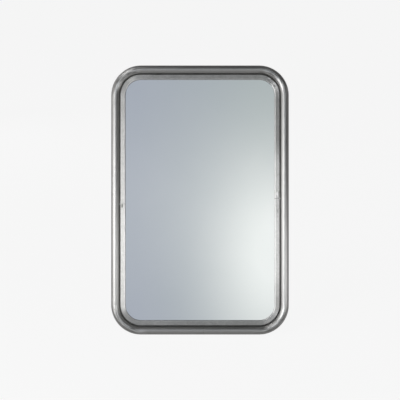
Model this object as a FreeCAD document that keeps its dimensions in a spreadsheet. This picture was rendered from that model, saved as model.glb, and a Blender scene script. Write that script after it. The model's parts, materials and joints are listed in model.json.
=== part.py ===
"""Leaning counter mirror: a bent steel tube loop with a formed sheet rim welded inside it.

The mirror pane sits in the rim from behind, under a card and a back panel that six turn
buttons hold in place. A rod leg, pivoted in two brackets on the back panel, opens until its
square heels meet the brackets, and folds flat against the back.

Each piece is drawn in one of two leaning frames. In the mirror's frame X runs to the right,
Y up along the pane and Z out of the front, with the tube's centre plane at Z = 0. In the leg's
frame X is the pivot line and Y runs up along the leg. The finished model has +Z up, the front
towards -Y, and its origin on the counter at the centre of the footprint. Millimetres.
"""
import FreeCAD, Part
import math
import os
import Sketcher

Vector = FreeCAD.Vector
Constraint = Sketcher.Constraint

doc = FreeCAD.newDocument("CounterMirror")
sheet = doc.addObject("Spreadsheet::Sheet", "Sizes")

SIZES = {
    # the bent tube
    "frame_width": 260,
    "frame_height": 394,
    "frame_corner": 43.5,
    "tube_diameter": 12,
    "tube_wall": 1.2,
    "tube_joint_side": 5,
    "tube_joint_gap": 1.2,
    "spigot_play": 0.05,
    "spigot_wall": 1.5,
    "spigot_length": 44,
    # the formed rim
    "crevice": 1.5,
    "sheet_gauge": 1.5,
    "rim_lip": 7.4,
    "rim_flange": 9.5,
    "rim_bend": 1.6,
    "rim_crease": 0.3,
    "rim_edge": 1.2,
    "seam_gap": 0.8,
    "seam_left": -5.9,
    "seam_right": 2.2,
    "tack_length": 11,
    "tack_radius": 1.5,
    "tack_near": 0.12,
    "tack_far": 0.36,
    "tack_end": 0.22,
    # what the rim holds
    "tape_gauge": 0.5,
    "tape_width": 5.5,
    "pane_gauge": 3,
    "pane_play": 2,
    "block_length": 22,
    "card_gauge": 1,
    "panel_gauge": 2.5,
    "panel_play": 0.5,
    # turn buttons
    "button_gauge": 1.2,
    "button_width": 8.5,
    "button_reach": 16,
    "button_lift": 0.1,
    "button_row": 105,
    "button_flat": 0.05,
    "button_round": 0.3,
    "button_inset": 1,
    # rivets and pivots
    "rivet_diameter": 3,
    "rivet_head": 6,
    "rivet_rise": 1.2,
    "rivet_slack": 0.05,
    "hole_play": 0.02,
    "turning_play": 0.05,
    "pin_head": 5,
    "pin_head_gauge": 1,
    "pin_slack": 0.1,
    "pin_overlap": 0.2,
    "pin_round": 0.4,
    # the leg and its brackets
    "lean_angle": 12,
    "opening_angle": 25,
    "pivot_height": 40,
    "pivot_rise": 6.5,
    "leg_width": 110,
    "leg_corner": 20,
    "rod_diameter": 6,
    "eye_gauge": 4,
    "eye_width": 7,
    "eye_length": 12,
    "eye_taper": 0.4,
    "neck_length": 3,
    "heel_play": 0.1,
    "ear_gap": 4.6,
    "ear_width": 12,
    "ear_taper": 3,
    "ear_blunt": 1,
    "bracket_width": 28,
    "bracket_height": 24,
    "bracket_corner": 4,
    "foot_diameter": 9,
    "foot_length": 24,
    "foot_side": 30,
    "foot_round": 0.8,
    # the hanging plate
    "hanger_height": 148,
    "hanger_width": 34,
    "hanger_rise": 3,
    "hanger_ear": 9,
    "hanger_margin": 2,
    "hanger_corner": 2,
    "hollow_corner": 1,
    "keyhole_diameter": 10,
    "keyhole_slot": 5,
    "keyhole_travel": 11,
}


def fill_sheet():
    """Writes every driving dimension into the sheet, with its name as the cell's alias."""
    for row, (name, size) in enumerate(SIZES.items(), start=1):
        sheet.set(f"A{row}", name)
        sheet.set(f"B{row}", str(size))
        sheet.setAlias(f"B{row}", name)
    doc.recompute()


def value(expression):
    """What an expression comes to, as a plain number."""
    return float(sheet.evalExpression(str(expression)))


def minus(expression):
    return f"-({expression})"


# ---- lines and levels that several pieces share, in the mirror's frame ----

TUBE_RADIUS = "Sizes.tube_diameter / 2"
PATH_X = "(Sizes.frame_width / 2 - Sizes.tube_diameter / 2)"
PATH_Y = "(Sizes.frame_height / 2 - Sizes.tube_diameter / 2)"
PATH_CORNER = "(Sizes.frame_corner - Sizes.tube_diameter / 2)"

RIM_INSET = "(Sizes.tube_diameter + Sizes.crevice)"
RIM_X = f"(Sizes.frame_width / 2 - {RIM_INSET})"
RIM_Y = f"(Sizes.frame_height / 2 - {RIM_INSET})"
RIM_CORNER = f"(Sizes.frame_corner - {RIM_INSET})"
WELL_X = f"({RIM_X} - Sizes.sheet_gauge)"
WELL_Y = f"({RIM_Y} - Sizes.sheet_gauge)"
WELL_CORNER = f"({RIM_CORNER} - Sizes.sheet_gauge)"

BACK = "(-Sizes.tube_diameter / 2 - Sizes.sheet_gauge)"
PANEL_FRONT = f"({BACK} + Sizes.panel_gauge)"
CARD_FRONT = f"({PANEL_FRONT} + Sizes.card_gauge)"
PANE_FRONT = f"({CARD_FRONT} + Sizes.pane_gauge)"
LIP_BACK = f"({PANE_FRONT} + Sizes.tape_gauge)"
RIM_FRONT = f"({LIP_BACK} + Sizes.sheet_gauge)"

FLANGE_FRONT = f"({BACK} + Sizes.sheet_gauge)"
EDGE_X = f"({RIM_X} + Sizes.rim_flange + Sizes.tack_radius / 3)"
EDGE_Y = f"({RIM_Y} + Sizes.rim_flange + Sizes.tack_radius / 3)"
TACK_LEVEL = f"({BACK} + Sizes.sheet_gauge / 2)"
BRACKET_BACK = f"({BACK} - Sizes.sheet_gauge)"
FLANGE_MIDDLE = "((Sizes.rim_flange + Sizes.sheet_gauge) / 2)"
RIVET_LINE = f"({RIM_X} + {FLANGE_MIDDLE} - Sizes.button_inset)"
RIVET_LINE_Y = f"({RIM_Y} + {FLANGE_MIDDLE} - Sizes.button_inset)"
BUTTON_FRONT = f"({BACK} - Sizes.button_lift)"
BUTTON_BACK = f"({BUTTON_FRONT} - Sizes.button_gauge)"

# ---- where the two frames stand in the model ----

LEAN_TURN = "90 - Sizes.lean_angle"
LEG_TURN = "90 - Sizes.lean_angle + Sizes.opening_angle"
LEG_TILT = "(Sizes.opening_angle - Sizes.lean_angle)"
PIVOT_Z = f"({BACK} - Sizes.pivot_rise)"
CENTRE_UP = f"({TUBE_RADIUS} + {PATH_Y} * cos(Sizes.lean_angle))"
PIVOT_UP = (
    f"({CENTRE_UP} + Sizes.pivot_height * cos(Sizes.lean_angle)"
    f" + {PIVOT_Z} * sin(Sizes.lean_angle))"
)
PIVOT_BEHIND = f"(Sizes.pivot_height * sin(Sizes.lean_angle) - {PIVOT_Z} * cos(Sizes.lean_angle))"
LEG_LENGTH = f"(({PIVOT_UP} - Sizes.foot_diameter / 2) / cos({LEG_TILT}))"
FOOT_BEHIND = f"({PIVOT_BEHIND} + {LEG_LENGTH} * sin({LEG_TILT}))"
TOE_AHEAD = f"({PATH_Y} * sin(Sizes.lean_angle))"
CENTRE_BEHIND = (
    f"((({TOE_AHEAD} + {TUBE_RADIUS}) - ({FOOT_BEHIND} + Sizes.foot_diameter / 2)) / 2)"
)

MIRROR_FRAME = (("0", CENTRE_BEHIND, CENTRE_UP), LEAN_TURN)
LEG_FRAME = (("0", f"({CENTRE_BEHIND} + {PIVOT_BEHIND})", PIVOT_UP), LEG_TURN)


# ---- placing and drawing ----

def place(thing, frame):
    """Stands an object in the mirror's or the leg's frame, turned about the X axis."""
    origin, turn = frame
    thing.Placement = FreeCAD.Placement(Vector(), FreeCAD.Rotation(Vector(1, 0, 0), 45))
    for axis, expression in zip("xyz", origin):
        thing.setExpression(f"Placement.Base.{axis}", expression)
    thing.setExpression("Placement.Rotation.Angle", turn)


def new_body(name, frame=MIRROR_FRAME):
    body = doc.addObject("PartDesign::Body", name)
    body.Label = name
    place(body, frame)
    return body


def new_sketch(body, name, level="0", role="XY_Plane"):
    """A sketch on one of the body's own origin planes, lifted to a level along its normal."""
    sketch = body.newObject("Sketcher::SketchObject", name)
    plane = next(item for item in body.Origin.OriginFeatures if item.Role == role)
    sketch.AttachmentSupport = [(plane, "")]
    sketch.MapMode = "FlatFace"
    sketch.setExpression("AttachmentOffset.Base.z", level)
    return sketch


def hold(sketch, kind, where, expression):
    """Adds one dimension to a sketch and binds it to an expression of the sheet."""
    index = sketch.addConstraint(Constraint(kind, *where, value(expression)))
    sketch.setExpression(f"Constraints[{index}]", expression)


def pin_point(sketch, edge, end, point):
    """Holds one end or centre of an edge at a place that the sheet gives."""
    hold(sketch, "DistanceX", (-1, 1, edge, end), point[0])
    hold(sketch, "DistanceY", (-1, 1, edge, end), point[1])


def draw_circle(sketch, x, y, diameter):
    centre = Vector(value(x), value(y), 0)
    edge = sketch.addGeometry(Part.Circle(centre, Vector(0, 0, 1), value(diameter) / 2), False)
    pin_point(sketch, edge, 3, (x, y))
    hold(sketch, "Diameter", (edge,), diameter)


def draw_polygon(sketch, points):
    """A closed outline of straight lines whose corners are given as expressions.

    A third value rounds that corner, which must be square, with an arc of that radius.
    """
    places = [Vector(value(point[0]), value(point[1]), 0) for point in points]
    count = len(points)
    before = [(places[i - 1] - places[i]).normalize() for i in range(count)]
    after = [(places[(i + 1) % count] - places[i]).normalize() for i in range(count)]
    radii = [value(point[2]) if len(point) > 2 else 0 for point in points]
    starts = [places[i] + after[i] * radii[i] for i in range(count)]
    ends = [places[i] + before[i] * radii[i] for i in range(count)]
    lines = [Part.LineSegment(starts[i], ends[(i + 1) % count]) for i in range(count)]
    first = sketch.addGeometry(lines, False)[0]
    for i, point in enumerate(points):
        into, out_of = first + (i - 1) % count, first + i
        if not radii[i]:
            sketch.addConstraint(Constraint("Coincident", into, 2, out_of, 1))
            pin_point(sketch, out_of, 1, point)
            continue
        inward = before[i] + after[i]
        centre = places[i] + inward * radii[i]
        middle = centre - inward.normalize() * radii[i]
        arc = sketch.addGeometry(Part.Arc(ends[i], middle, starts[i]), False)
        turns_left = (before[i].cross(after[i])).z < 0
        meets, leaves = (1, 2) if turns_left else (2, 1)
        sketch.addConstraint(Constraint("Tangent", into, 2, arc, meets))
        sketch.addConstraint(Constraint("Tangent", arc, leaves, out_of, 1))
        hold(sketch, "Radius", (arc,), point[2])
        across, up = (before[i] + after[i]).x, (before[i] + after[i]).y
        shift_x = f"{point[0]} + ({round(across)}) * ({point[2]})"
        shift_y = f"{point[1]} + ({round(up)}) * ({point[2]})"
        pin_point(sketch, arc, 3, (shift_x, shift_y))


def draw_rounded(sketch, half_x, half_y, corner, centre=("0", "0")):
    """A rectangle with round corners: four sides joined by tangent quarter circles."""
    x, y, r = value(half_x), value(half_y), value(corner)
    middle = Vector(value(centre[0]), value(centre[1]), 0)
    turns = ((x - r, y - r, 0), (r - x, y - r, 90), (r - x, r - y, 180), (x - r, r - y, 270))
    arcs = []
    for cx, cy, start in turns:
        circle = Part.Circle(middle + Vector(cx, cy, 0), Vector(0, 0, 1), r)
        arcs.append(Part.ArcOfCircle(circle, math.radians(start), math.radians(start + 90)))
    sides = [Part.LineSegment(arcs[i].EndPoint, arcs[(i + 1) % 4].StartPoint) for i in range(4)]
    first = sketch.addGeometry(arcs + sides, False)[0]
    for i in range(4):
        sketch.addConstraint(Constraint("Tangent", first + i, 2, first + 4 + i, 1))
        sketch.addConstraint(Constraint("Tangent", first + 4 + i, 2, first + (i + 1) % 4, 1))
        sketch.addConstraint(Constraint("Horizontal" if i % 2 == 0 else "Vertical", first + 4 + i))
    for i in (1, 2, 3):
        sketch.addConstraint(Constraint("Equal", first, first + i))
    hold(sketch, "Radius", (first,), corner)
    right, top = f"{centre[0]} + {half_x} - {corner}", f"{centre[1]} + {half_y} - {corner}"
    left, bottom = f"{centre[0]} - {half_x} + {corner}", f"{centre[1]} - {half_y} + {corner}"
    pin_point(sketch, first, 3, (right, top))
    pin_point(sketch, first + 2, 3, (left, bottom))


def draw_loop_path(sketch, half_x, half_y, corner, start, end):
    """An open path round a rounded rectangle, anticlockwise from one point on it to another.

    Start and end each name a side (0 bottom, 1 right, 2 top, 3 left) and the place along it.
    """
    x, y, r = value(half_x), value(half_y), value(corner)
    corners = ((x - r, r - y, 270), (x - r, y - r, 0), (r - x, y - r, 90), (r - x, r - y, 180))
    fixed = (minus(half_y), half_x, half_y, minus(half_x))
    side, along = start
    turns = (end[0] - side) % 4 or 4

    def place_on(number, where):
        across, down = value(fixed[number]), value(where)
        return Vector(down, across, 0) if number % 2 == 0 else Vector(across, down, 0)

    edges = []
    here = place_on(side, along)
    for step in range(turns):
        cx, cy, angle = corners[(side + step) % 4]
        circle = Part.Circle(Vector(cx, cy, 0), Vector(0, 0, 1), r)
        arc = Part.ArcOfCircle(circle, math.radians(angle), math.radians(angle + 90))
        edges += [Part.LineSegment(here, arc.StartPoint), arc]
        here = arc.EndPoint
    edges.append(Part.LineSegment(here, place_on(*end)))
    sketch.addGeometry(edges, False)
    for i in range(len(edges) - 1):
        sketch.addConstraint(Constraint("Tangent", i, 2, i + 1, 1))
    for step in range(turns + 1):
        number = (side + step) % 4
        sketch.addConstraint(Constraint("Vertical" if number % 2 else "Horizontal", 2 * step))
        if 0 < step < turns:
            axis = "DistanceX" if number % 2 else "DistanceY"
            hold(sketch, axis, (-1, 1, 2 * step, 1), fixed[number])
    for step in range(1, turns):
        sketch.addConstraint(Constraint("Equal", 1, 2 * step + 1))
    hold(sketch, "Radius", (1,), corner)
    for edge, end_number, (number, where) in ((0, 1, start), (2 * turns, 2, end)):
        point = (where, fixed[number]) if number % 2 == 0 else (fixed[number], where)
        pin_point(sketch, edge, end_number, point)


def pad(body, sketch, length, both_ways=False):
    feature = body.newObject("PartDesign::Pad", sketch.Name + "Pad")
    feature.Profile = sketch
    feature.setExpression("Length", length)
    if both_ways:
        feature.SideType = "Symmetric"
    return feature


def cut_through(body, sketch):
    """Cuts the sketch right through the body, both ways from its plane."""
    doc.recompute()
    before = body.Shape.Volume
    feature = body.newObject("PartDesign::Pocket", sketch.Name + "Cut")
    feature.Profile = sketch
    feature.SideType = "Symmetric"
    feature.Type = "ThroughAll"
    doc.recompute()
    if body.Shape.Volume >= before:
        raise RuntimeError(f"{sketch.Name} cuts nothing")
    return feature


def sweep(body, section, path):
    feature = body.newObject("PartDesign::AdditivePipe", section.Name + "Sweep")
    feature.Profile = section
    feature.Spine = path
    return feature


def soften(body, feature, radius, choose):
    """Rounds the edges of the body's last feature that a test picks."""
    doc.recompute()
    names = [f"Edge{i}" for i, edge in enumerate(feature.Shape.Edges, start=1) if choose(edge)]
    rounding = body.newObject("PartDesign::Fillet", feature.Name + "Round")
    rounding.Base = (feature, names)
    rounding.setExpression("Radius", radius)
    return rounding


def at_level(edge, level):
    """True for an edge that lies flat at a level of its body's own frame."""
    return all(abs(vertex.Z - level) < 0.01 for vertex in edge.Vertexes)


def group(name, pieces, frame=MIRROR_FRAME):
    """Like fasteners as one named node of separate solids."""
    node = doc.addObject("Part::Compound", name)
    node.Label = name
    node.Links = pieces
    place(node, frame)
    return node


def move(thing, x, y, z):
    for axis, expression in zip("xyz", (x, y, z)):
        thing.setExpression(f"Placement.Base.{axis}", expression)


def rivet(name, x, y, front, back):
    """A rivet along Z: a plain shank from front to back and a low domed head behind."""
    shank = doc.addObject("Part::Cylinder", name + "Shank")
    shank.setExpression("Radius", "Sizes.rivet_diameter / 2")
    shank.setExpression("Height", f"{front} - {back}")
    move(shank, x, y, back)
    head = doc.addObject("Part::Sphere", name + "Head")
    ball = "((Sizes.rivet_head ^ 2 / 4 + Sizes.rivet_rise ^ 2) / (2 * Sizes.rivet_rise))"
    head.setExpression("Radius", ball)
    head.Angle1 = -90
    head.setExpression("Angle2", f"-asin(1 - Sizes.rivet_rise / {ball})")
    move(head, x, y, f"{back} + {ball} - Sizes.rivet_rise")
    whole = doc.addObject("Part::Fuse", name)
    whole.Base = shank
    whole.Tool = head
    return whole


# ---- the bent tube ----

def tube_frame():
    """Round tube bent into one loop, its ends meeting in a butt joint in the bottom run."""
    body = new_body("tube_frame")
    path = new_sketch(body, "TubePath")
    start = "(Sizes.tube_joint_side + Sizes.tube_joint_gap / 2)"
    end = "(Sizes.tube_joint_side - Sizes.tube_joint_gap / 2)"
    draw_loop_path(path, PATH_X, PATH_Y, PATH_CORNER, (0, start), (0, end))
    section = new_sketch(body, "TubeSection", start, "YZ_Plane")
    draw_circle(section, minus(PATH_Y), "0", "Sizes.tube_diameter")
    draw_circle(section, minus(PATH_Y), "0", "Sizes.tube_diameter - 2 * Sizes.tube_wall")
    sweep(body, section, path)
    return body


def tube_spigot():
    """Short inner tube that bridges the butt joint."""
    body = new_body("tube_spigot")
    section = new_sketch(body, "SpigotSection", "Sizes.tube_joint_side", "YZ_Plane")
    bore = "(Sizes.tube_diameter - 2 * Sizes.tube_wall)"
    draw_circle(section, minus(PATH_Y), "0", f"{bore} - 2 * Sizes.spigot_play")
    inner = f"{bore} - 2 * Sizes.spigot_play - 2 * Sizes.spigot_wall"
    draw_circle(section, minus(PATH_Y), "0", inner)
    pad(body, section, "Sizes.spigot_length", both_ways=True)
    return body


def tube_weld():
    """Weld that fills the butt joint, dressed flush with the tube."""
    body = new_body("tube_weld")
    section = new_sketch(body, "WeldSection", "Sizes.tube_joint_side", "YZ_Plane")
    draw_circle(section, minus(PATH_Y), "0", "Sizes.tube_diameter")
    bore = "Sizes.tube_diameter - 2 * Sizes.tube_wall"
    draw_circle(section, minus(PATH_Y), "0", bore)
    pad(body, section, "Sizes.tube_joint_gap", both_ways=True)
    return body


# ---- the formed rim ----

def rim_half(name, start, end):
    """Half of the rim: sheet formed to a Z, its front lip over the pane, its flange on the tube."""
    body = new_body(name)
    path = new_sketch(body, name + "_path")
    draw_loop_path(path, RIM_X, RIM_Y, RIM_CORNER, start, end)
    side = RIM_X if start[0] == 1 else minus(RIM_X)
    level = minus(start[1])
    section = new_sketch(body, name + "_section", level, "XZ_Plane")
    sign = "-1" if start[0] == 1 else "1"
    edge, bend, crease = "Sizes.rim_edge", "Sizes.rim_bend", "Sizes.rim_crease"
    inward = [
        ("Sizes.rim_lip", RIM_FRONT, edge),
        ("0", RIM_FRONT, bend),
        ("0", FLANGE_FRONT, crease),
        ("-Sizes.rim_flange", FLANGE_FRONT),
        ("-Sizes.rim_flange", BACK, crease),
        ("Sizes.sheet_gauge", BACK, bend),
        ("Sizes.sheet_gauge", LIP_BACK, crease),
        ("Sizes.rim_lip", LIP_BACK),
    ]
    draw_polygon(section, [(f"{side} + {sign} * ({x})", z, *rest) for x, z, *rest in inward])
    sweep(body, section, path)
    return body


def rim_upper():
    top_right = (1, "(Sizes.seam_right + Sizes.seam_gap / 2)")
    top_left = (3, "(Sizes.seam_left + Sizes.seam_gap / 2)")
    return rim_half("rim_upper", top_right, top_left)


def rim_lower():
    low_left = (3, "(Sizes.seam_left - Sizes.seam_gap / 2)")
    low_right = (1, "(Sizes.seam_right - Sizes.seam_gap / 2)")
    return rim_half("rim_lower", low_left, low_right)


def seam_weld(name, side, height):
    """Weld that fills the gap between the two rim halves, dressed flush with the lip."""
    body = new_body(name)
    section = new_sketch(body, name + "_section", minus(height), "XZ_Plane")
    outer, inner = f"{side} * {RIM_X}", f"{side} * ({RIM_X} - Sizes.rim_lip)"
    well = f"{side} * {WELL_X}"
    corners = [(outer, RIM_FRONT), (outer, BACK), (well, BACK), (well, LIP_BACK)]
    corners += [(inner, LIP_BACK), (inner, RIM_FRONT)]
    draw_polygon(section, corners)
    pad(body, section, "Sizes.seam_gap", both_ways=True)
    return body


def rim_tack_welds():
    """Short beads behind the tube that join it to the rim's flange all round."""
    beads = []
    for side in (-1, 1):
        for row in ("-Sizes.tack_far", "-Sizes.tack_near", "Sizes.tack_near", "Sizes.tack_far"):
            x, y = f"{side} * {EDGE_X}", f"{row} * Sizes.frame_height"
            beads.append(tack(f"Tack{len(beads)}_", x, y, upright=True))
        for part in ("-Sizes.tack_end", "Sizes.tack_end"):
            x, y = f"{part} * Sizes.frame_width", f"{side} * {EDGE_Y}"
            beads.append(tack(f"Tack{len(beads)}_", x, y, upright=False))
    return group("rim_tack_welds", beads)


def tack(name, x, y, upright):
    """One bead: a round-ended run of weld along the edge."""
    run = "(Sizes.tack_length - 2 * Sizes.tack_radius)"
    core = doc.addObject("Part::Cylinder", name + "Core")
    core.setExpression("Height", run)
    core.setExpression("Radius", "Sizes.tack_radius")
    across = Vector(1, 0, 0) if upright else Vector(0, 1, 0)
    core.Placement = FreeCAD.Placement(Vector(), FreeCAD.Rotation(across, -90 if upright else 90))
    ends = []
    for hand, label in (("-1", "Low"), ("1", "High")):
        cap = doc.addObject("Part::Sphere", name + label)
        cap.setExpression("Radius", "Sizes.tack_radius")
        shift = f"{hand} * {run} / 2"
        place_x, place_y = (x, f"{y} + {shift}") if upright else (f"{x} + {shift}", y)
        move(cap, place_x, place_y, TACK_LEVEL)
        ends.append(cap)
    low_x, low_y = (x, f"{y} - {run} / 2") if upright else (f"{x} - {run} / 2", y)
    move(core, low_x, low_y, TACK_LEVEL)
    bead = doc.addObject("Part::MultiFuse", name)
    bead.Shapes = [core] + ends
    return bead


# ---- what the rim holds ----

def plate(name, half_x, half_y, corner, back, gauge):
    """A flat sheet with round corners, from its back level forwards."""
    body = new_body(name)
    outline = new_sketch(body, name + "_outline", back)
    draw_rounded(outline, half_x, half_y, corner)
    pad(body, outline, gauge)
    return body


def mirror_pane():
    """Silvered float glass, cut smaller than the rim so that it never binds."""
    half_x, half_y = f"({WELL_X} - Sizes.pane_play)", f"({WELL_Y} - Sizes.pane_play)"
    corner = f"({WELL_CORNER} - Sizes.pane_play)"
    return plate("mirror_pane", half_x, half_y, corner, CARD_FRONT, "Sizes.pane_gauge")


def glazing_tape():
    """Thin dark tape between the rim's lip and the pane."""
    body = new_body("glazing_tape")
    outline = new_sketch(body, "TapeOutline", PANE_FRONT)
    for inset in ("Sizes.panel_play", "Sizes.tape_width"):
        draw_rounded(outline, f"({WELL_X} - {inset})", f"({WELL_Y} - {inset})",
                     f"({WELL_CORNER} - {inset})")
    pad(body, outline, "Sizes.tape_gauge")
    return body


def setting_blocks():
    """Rubber blocks that centre the pane in the rim: two on each long side, two below."""
    thick, tall = "Sizes.pane_play", "Sizes.pane_gauge"
    pieces = []
    for side in (-1, 1):
        for row in (-1, 1):
            block = doc.addObject("Part::Box", f"SideBlock{len(pieces)}")
            block.setExpression("Length", thick)
            block.setExpression("Width", "Sizes.block_length")
            left = minus(WELL_X) if side < 0 else f"({WELL_X} - {thick})"
            move(block, left, f"{row} * {WELL_Y} / 2 - Sizes.block_length / 2", CARD_FRONT)
            pieces.append(block)
    for side in (-1, 1):
        block = doc.addObject("Part::Box", f"LowBlock{len(pieces)}")
        block.setExpression("Length", "Sizes.block_length")
        block.setExpression("Width", thick)
        middle = f"{side} * {WELL_X} / 2 - Sizes.block_length / 2"
        move(block, middle, minus(WELL_Y), CARD_FRONT)
        pieces.append(block)
    for block in pieces:
        block.setExpression("Height", tall)
    return group("setting_blocks", pieces)


def backing_card():
    """Grey card that keeps the silvering off the hard back panel."""
    half_x, half_y = f"({WELL_X} - Sizes.panel_play)", f"({WELL_Y} - Sizes.panel_play)"
    corner = f"({WELL_CORNER} - Sizes.panel_play)"
    return plate("backing_card", half_x, half_y, corner, PANEL_FRONT, "Sizes.card_gauge")


def back_panel():
    """Hard fibre board, flush with the rim's flange and drilled for the rivets it carries."""
    half_x, half_y = f"({WELL_X} - Sizes.panel_play)", f"({WELL_Y} - Sizes.panel_play)"
    corner = f"({WELL_CORNER} - Sizes.panel_play)"
    body = plate("back_panel", half_x, half_y, corner, BACK, "Sizes.panel_gauge")
    holes = new_sketch(body, "PanelHoles", BACK)
    for x, y in bracket_rivet_places() + hanger_rivet_places():
        draw_circle(holes, x, y, "Sizes.rivet_diameter + 2 * Sizes.hole_play")
    cut_through(body, holes)
    return body


# ---- turn buttons ----

def button_places():
    """Name, rivet place and turn of each button: its long end points in over the panel."""
    places = []
    for side, turn, word in ((1, 180, "right"), (-1, 0, "left")):
        for row, level in ((1, "upper"), (-1, "lower")):
            x, y = f"{side} * {RIVET_LINE}", f"{row} * Sizes.button_row"
            places.append((f"turn_button_{level}_{word}", x, y, turn))
    places.append(("turn_button_top", "0", RIVET_LINE_Y, 270))
    places.append(("turn_button_bottom", "0", minus(RIVET_LINE_Y), 90))
    return places


def turn_button(name, x, y, turn):
    """Pressed steel bar with round ends that swings on its rivet."""
    body = new_body(name)
    outline = new_sketch(body, name + "_outline", BUTTON_BACK)
    outline.AttachmentOffset = FreeCAD.Placement(Vector(), FreeCAD.Rotation(Vector(0, 0, 1), turn))
    outline.setExpression("AttachmentOffset.Base.x", x)
    outline.setExpression("AttachmentOffset.Base.y", y)
    outline.setExpression("AttachmentOffset.Base.z", BUTTON_BACK)
    half_long = "((Sizes.button_reach + Sizes.button_width / 2) / 2)"
    middle = "((Sizes.button_reach - Sizes.button_width / 2) / 2)"
    corner = "(Sizes.button_width / 2 - Sizes.button_flat)"
    draw_rounded(outline, half_long, "Sizes.button_width / 2", corner, (middle, "0"))
    draw_circle(outline, "0", "0", "Sizes.rivet_diameter + 2 * Sizes.turning_play")
    bar = pad(body, outline, "Sizes.button_gauge")
    level = value(BUTTON_BACK)
    rivet_hole = value("Sizes.rivet_diameter + 2 * Sizes.turning_play") / 2

    def outer(edge):
        round_hole = hasattr(edge.Curve, "Radius") and abs(edge.Curve.Radius - rivet_hole) < 0.01
        return at_level(edge, level) and not round_hole

    soften(body, bar, "Sizes.button_round", outer)
    return body


def turn_button_rivets():
    pieces = []
    for name, x, y, turn in button_places():
        under_head = f"({BUTTON_BACK} - Sizes.rivet_slack)"
        pieces.append(rivet("Rivet_" + name, x, y, FLANGE_FRONT, under_head))
    return group("turn_button_rivets", pieces)


def drill_rim(body, upper):
    """Rivet holes through the flange behind each turn button on this half."""
    holes = new_sketch(body, body.Name + "_holes", BACK)
    for name, x, y, turn in button_places():
        if (value(y) > 0) == upper:
            draw_circle(holes, x, y, "Sizes.rivet_diameter + 2 * Sizes.hole_play")
    cut_through(body, holes)


# ---- the leg and its brackets ----

SIDES = (("left", "-1"), ("right", "1"))


def bracket_rivet_places():
    """Four rivets in each bracket, clear of the slot the leg's eye swings in."""
    across = "(Sizes.bracket_width / 2 - Sizes.bracket_corner)"
    along = "(Sizes.bracket_height / 2 - Sizes.bracket_corner)"
    places = []
    for word, side in SIDES:
        for left in ("-1", "1"):
            for low in ("-1", "1"):
                x = f"({side} * Sizes.leg_width / 2 + {left} * {across})"
                places.append((x, f"(Sizes.pivot_height + {low} * {along})"))
    return places


def leg_bracket(word, side):
    """Pressed plate with two ears turned back from it to carry the pivot pin."""
    body = new_body(f"leg_bracket_{word}")
    middle = f"({side} * Sizes.leg_width / 2)"
    base = new_sketch(body, f"BracketBase_{word}", BRACKET_BACK)
    draw_rounded(base, "(Sizes.bracket_width / 2)", "(Sizes.bracket_height / 2)",
                 "Sizes.bracket_corner", (middle, "Sizes.pivot_height"))
    for x, y in bracket_rivet_places():
        if value(x) * value(side) > 0:
            draw_circle(base, x, y, "Sizes.rivet_diameter + 2 * Sizes.hole_play")
    pad(body, base, "Sizes.sheet_gauge")
    for hand in ("-1", "1"):
        offset = f"{middle} + {hand} * (Sizes.ear_gap + Sizes.sheet_gauge) / 2"
        label = f"Ear_{word}_{'low' if hand == '-1' else 'high'}"
        ear = new_sketch(body, label, offset, "YZ_Plane")
        draw_ear(ear)
        pad(body, ear, "Sizes.sheet_gauge", both_ways=True)
    bore = new_sketch(body, f"PinBore_{word}", middle, "YZ_Plane")
    draw_circle(bore, "Sizes.pivot_height", PIVOT_Z, "Sizes.rivet_diameter + 2 * Sizes.hole_play")
    cut_through(body, bore)
    return body


def draw_ear(sketch):
    """An ear's side view: straight sides from the plate, tapering to a blunt end."""
    half = "(Sizes.ear_width / 2)"
    tip = f"({PIVOT_Z} - Sizes.ear_width / 2 + Sizes.ear_blunt)"
    low, high = f"(Sizes.pivot_height - {half})", f"(Sizes.pivot_height + {half})"
    root = f"({BRACKET_BACK} + Sizes.sheet_gauge / 2)"
    points = [(low, root), (high, root), (high, PIVOT_Z), (f"{high} - Sizes.ear_taper", tip)]
    points += [(f"{low} + Sizes.ear_taper", tip), (low, PIVOT_Z)]
    draw_polygon(sketch, points)


def bracket_rivets():
    pieces = []
    for number, (x, y) in enumerate(bracket_rivet_places()):
        pieces.append(rivet(f"BracketRivet{number}", x, y, PANEL_FRONT, BRACKET_BACK))
    return group("bracket_rivets", pieces)


def leg_pivot_pin(word, side):
    """Headed pin through both ears, riveted over at its outer end."""
    body = new_body(f"leg_pivot_pin_{word}")
    middle = f"({side} * Sizes.leg_width / 2)"
    grip = "(Sizes.ear_gap + 2 * Sizes.sheet_gauge + Sizes.pin_slack)"
    shank = new_sketch(body, f"PinShank_{word}", middle, "YZ_Plane")
    draw_circle(shank, "Sizes.pivot_height", PIVOT_Z, "Sizes.rivet_diameter")
    pad(body, shank, f"{grip} + Sizes.pin_overlap", both_ways=True)
    for hand in ("-1", "1"):
        level = f"{middle} + {hand} * ({grip} + Sizes.pin_head_gauge) / 2"
        label = f"PinHead_{word}_{'low' if hand == '-1' else 'high'}"
        head = new_sketch(body, label, level, "YZ_Plane")
        draw_circle(head, "Sizes.pivot_height", PIVOT_Z, "Sizes.pin_head")
        last = pad(body, head, "Sizes.pin_head_gauge", both_ways=True)
    reach = f"({grip} / 2 + Sizes.pin_head_gauge)"
    ends = [value(f"{middle} + {hand} * {reach}") for hand in (-1, 1)]

    def at_an_end(edge):
        box = edge.BoundBox
        return box.XLength < 0.01 and any(abs(box.Center.x - end) < 0.01 for end in ends)

    soften(body, last, "Sizes.pin_round", at_an_end)
    return body


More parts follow.
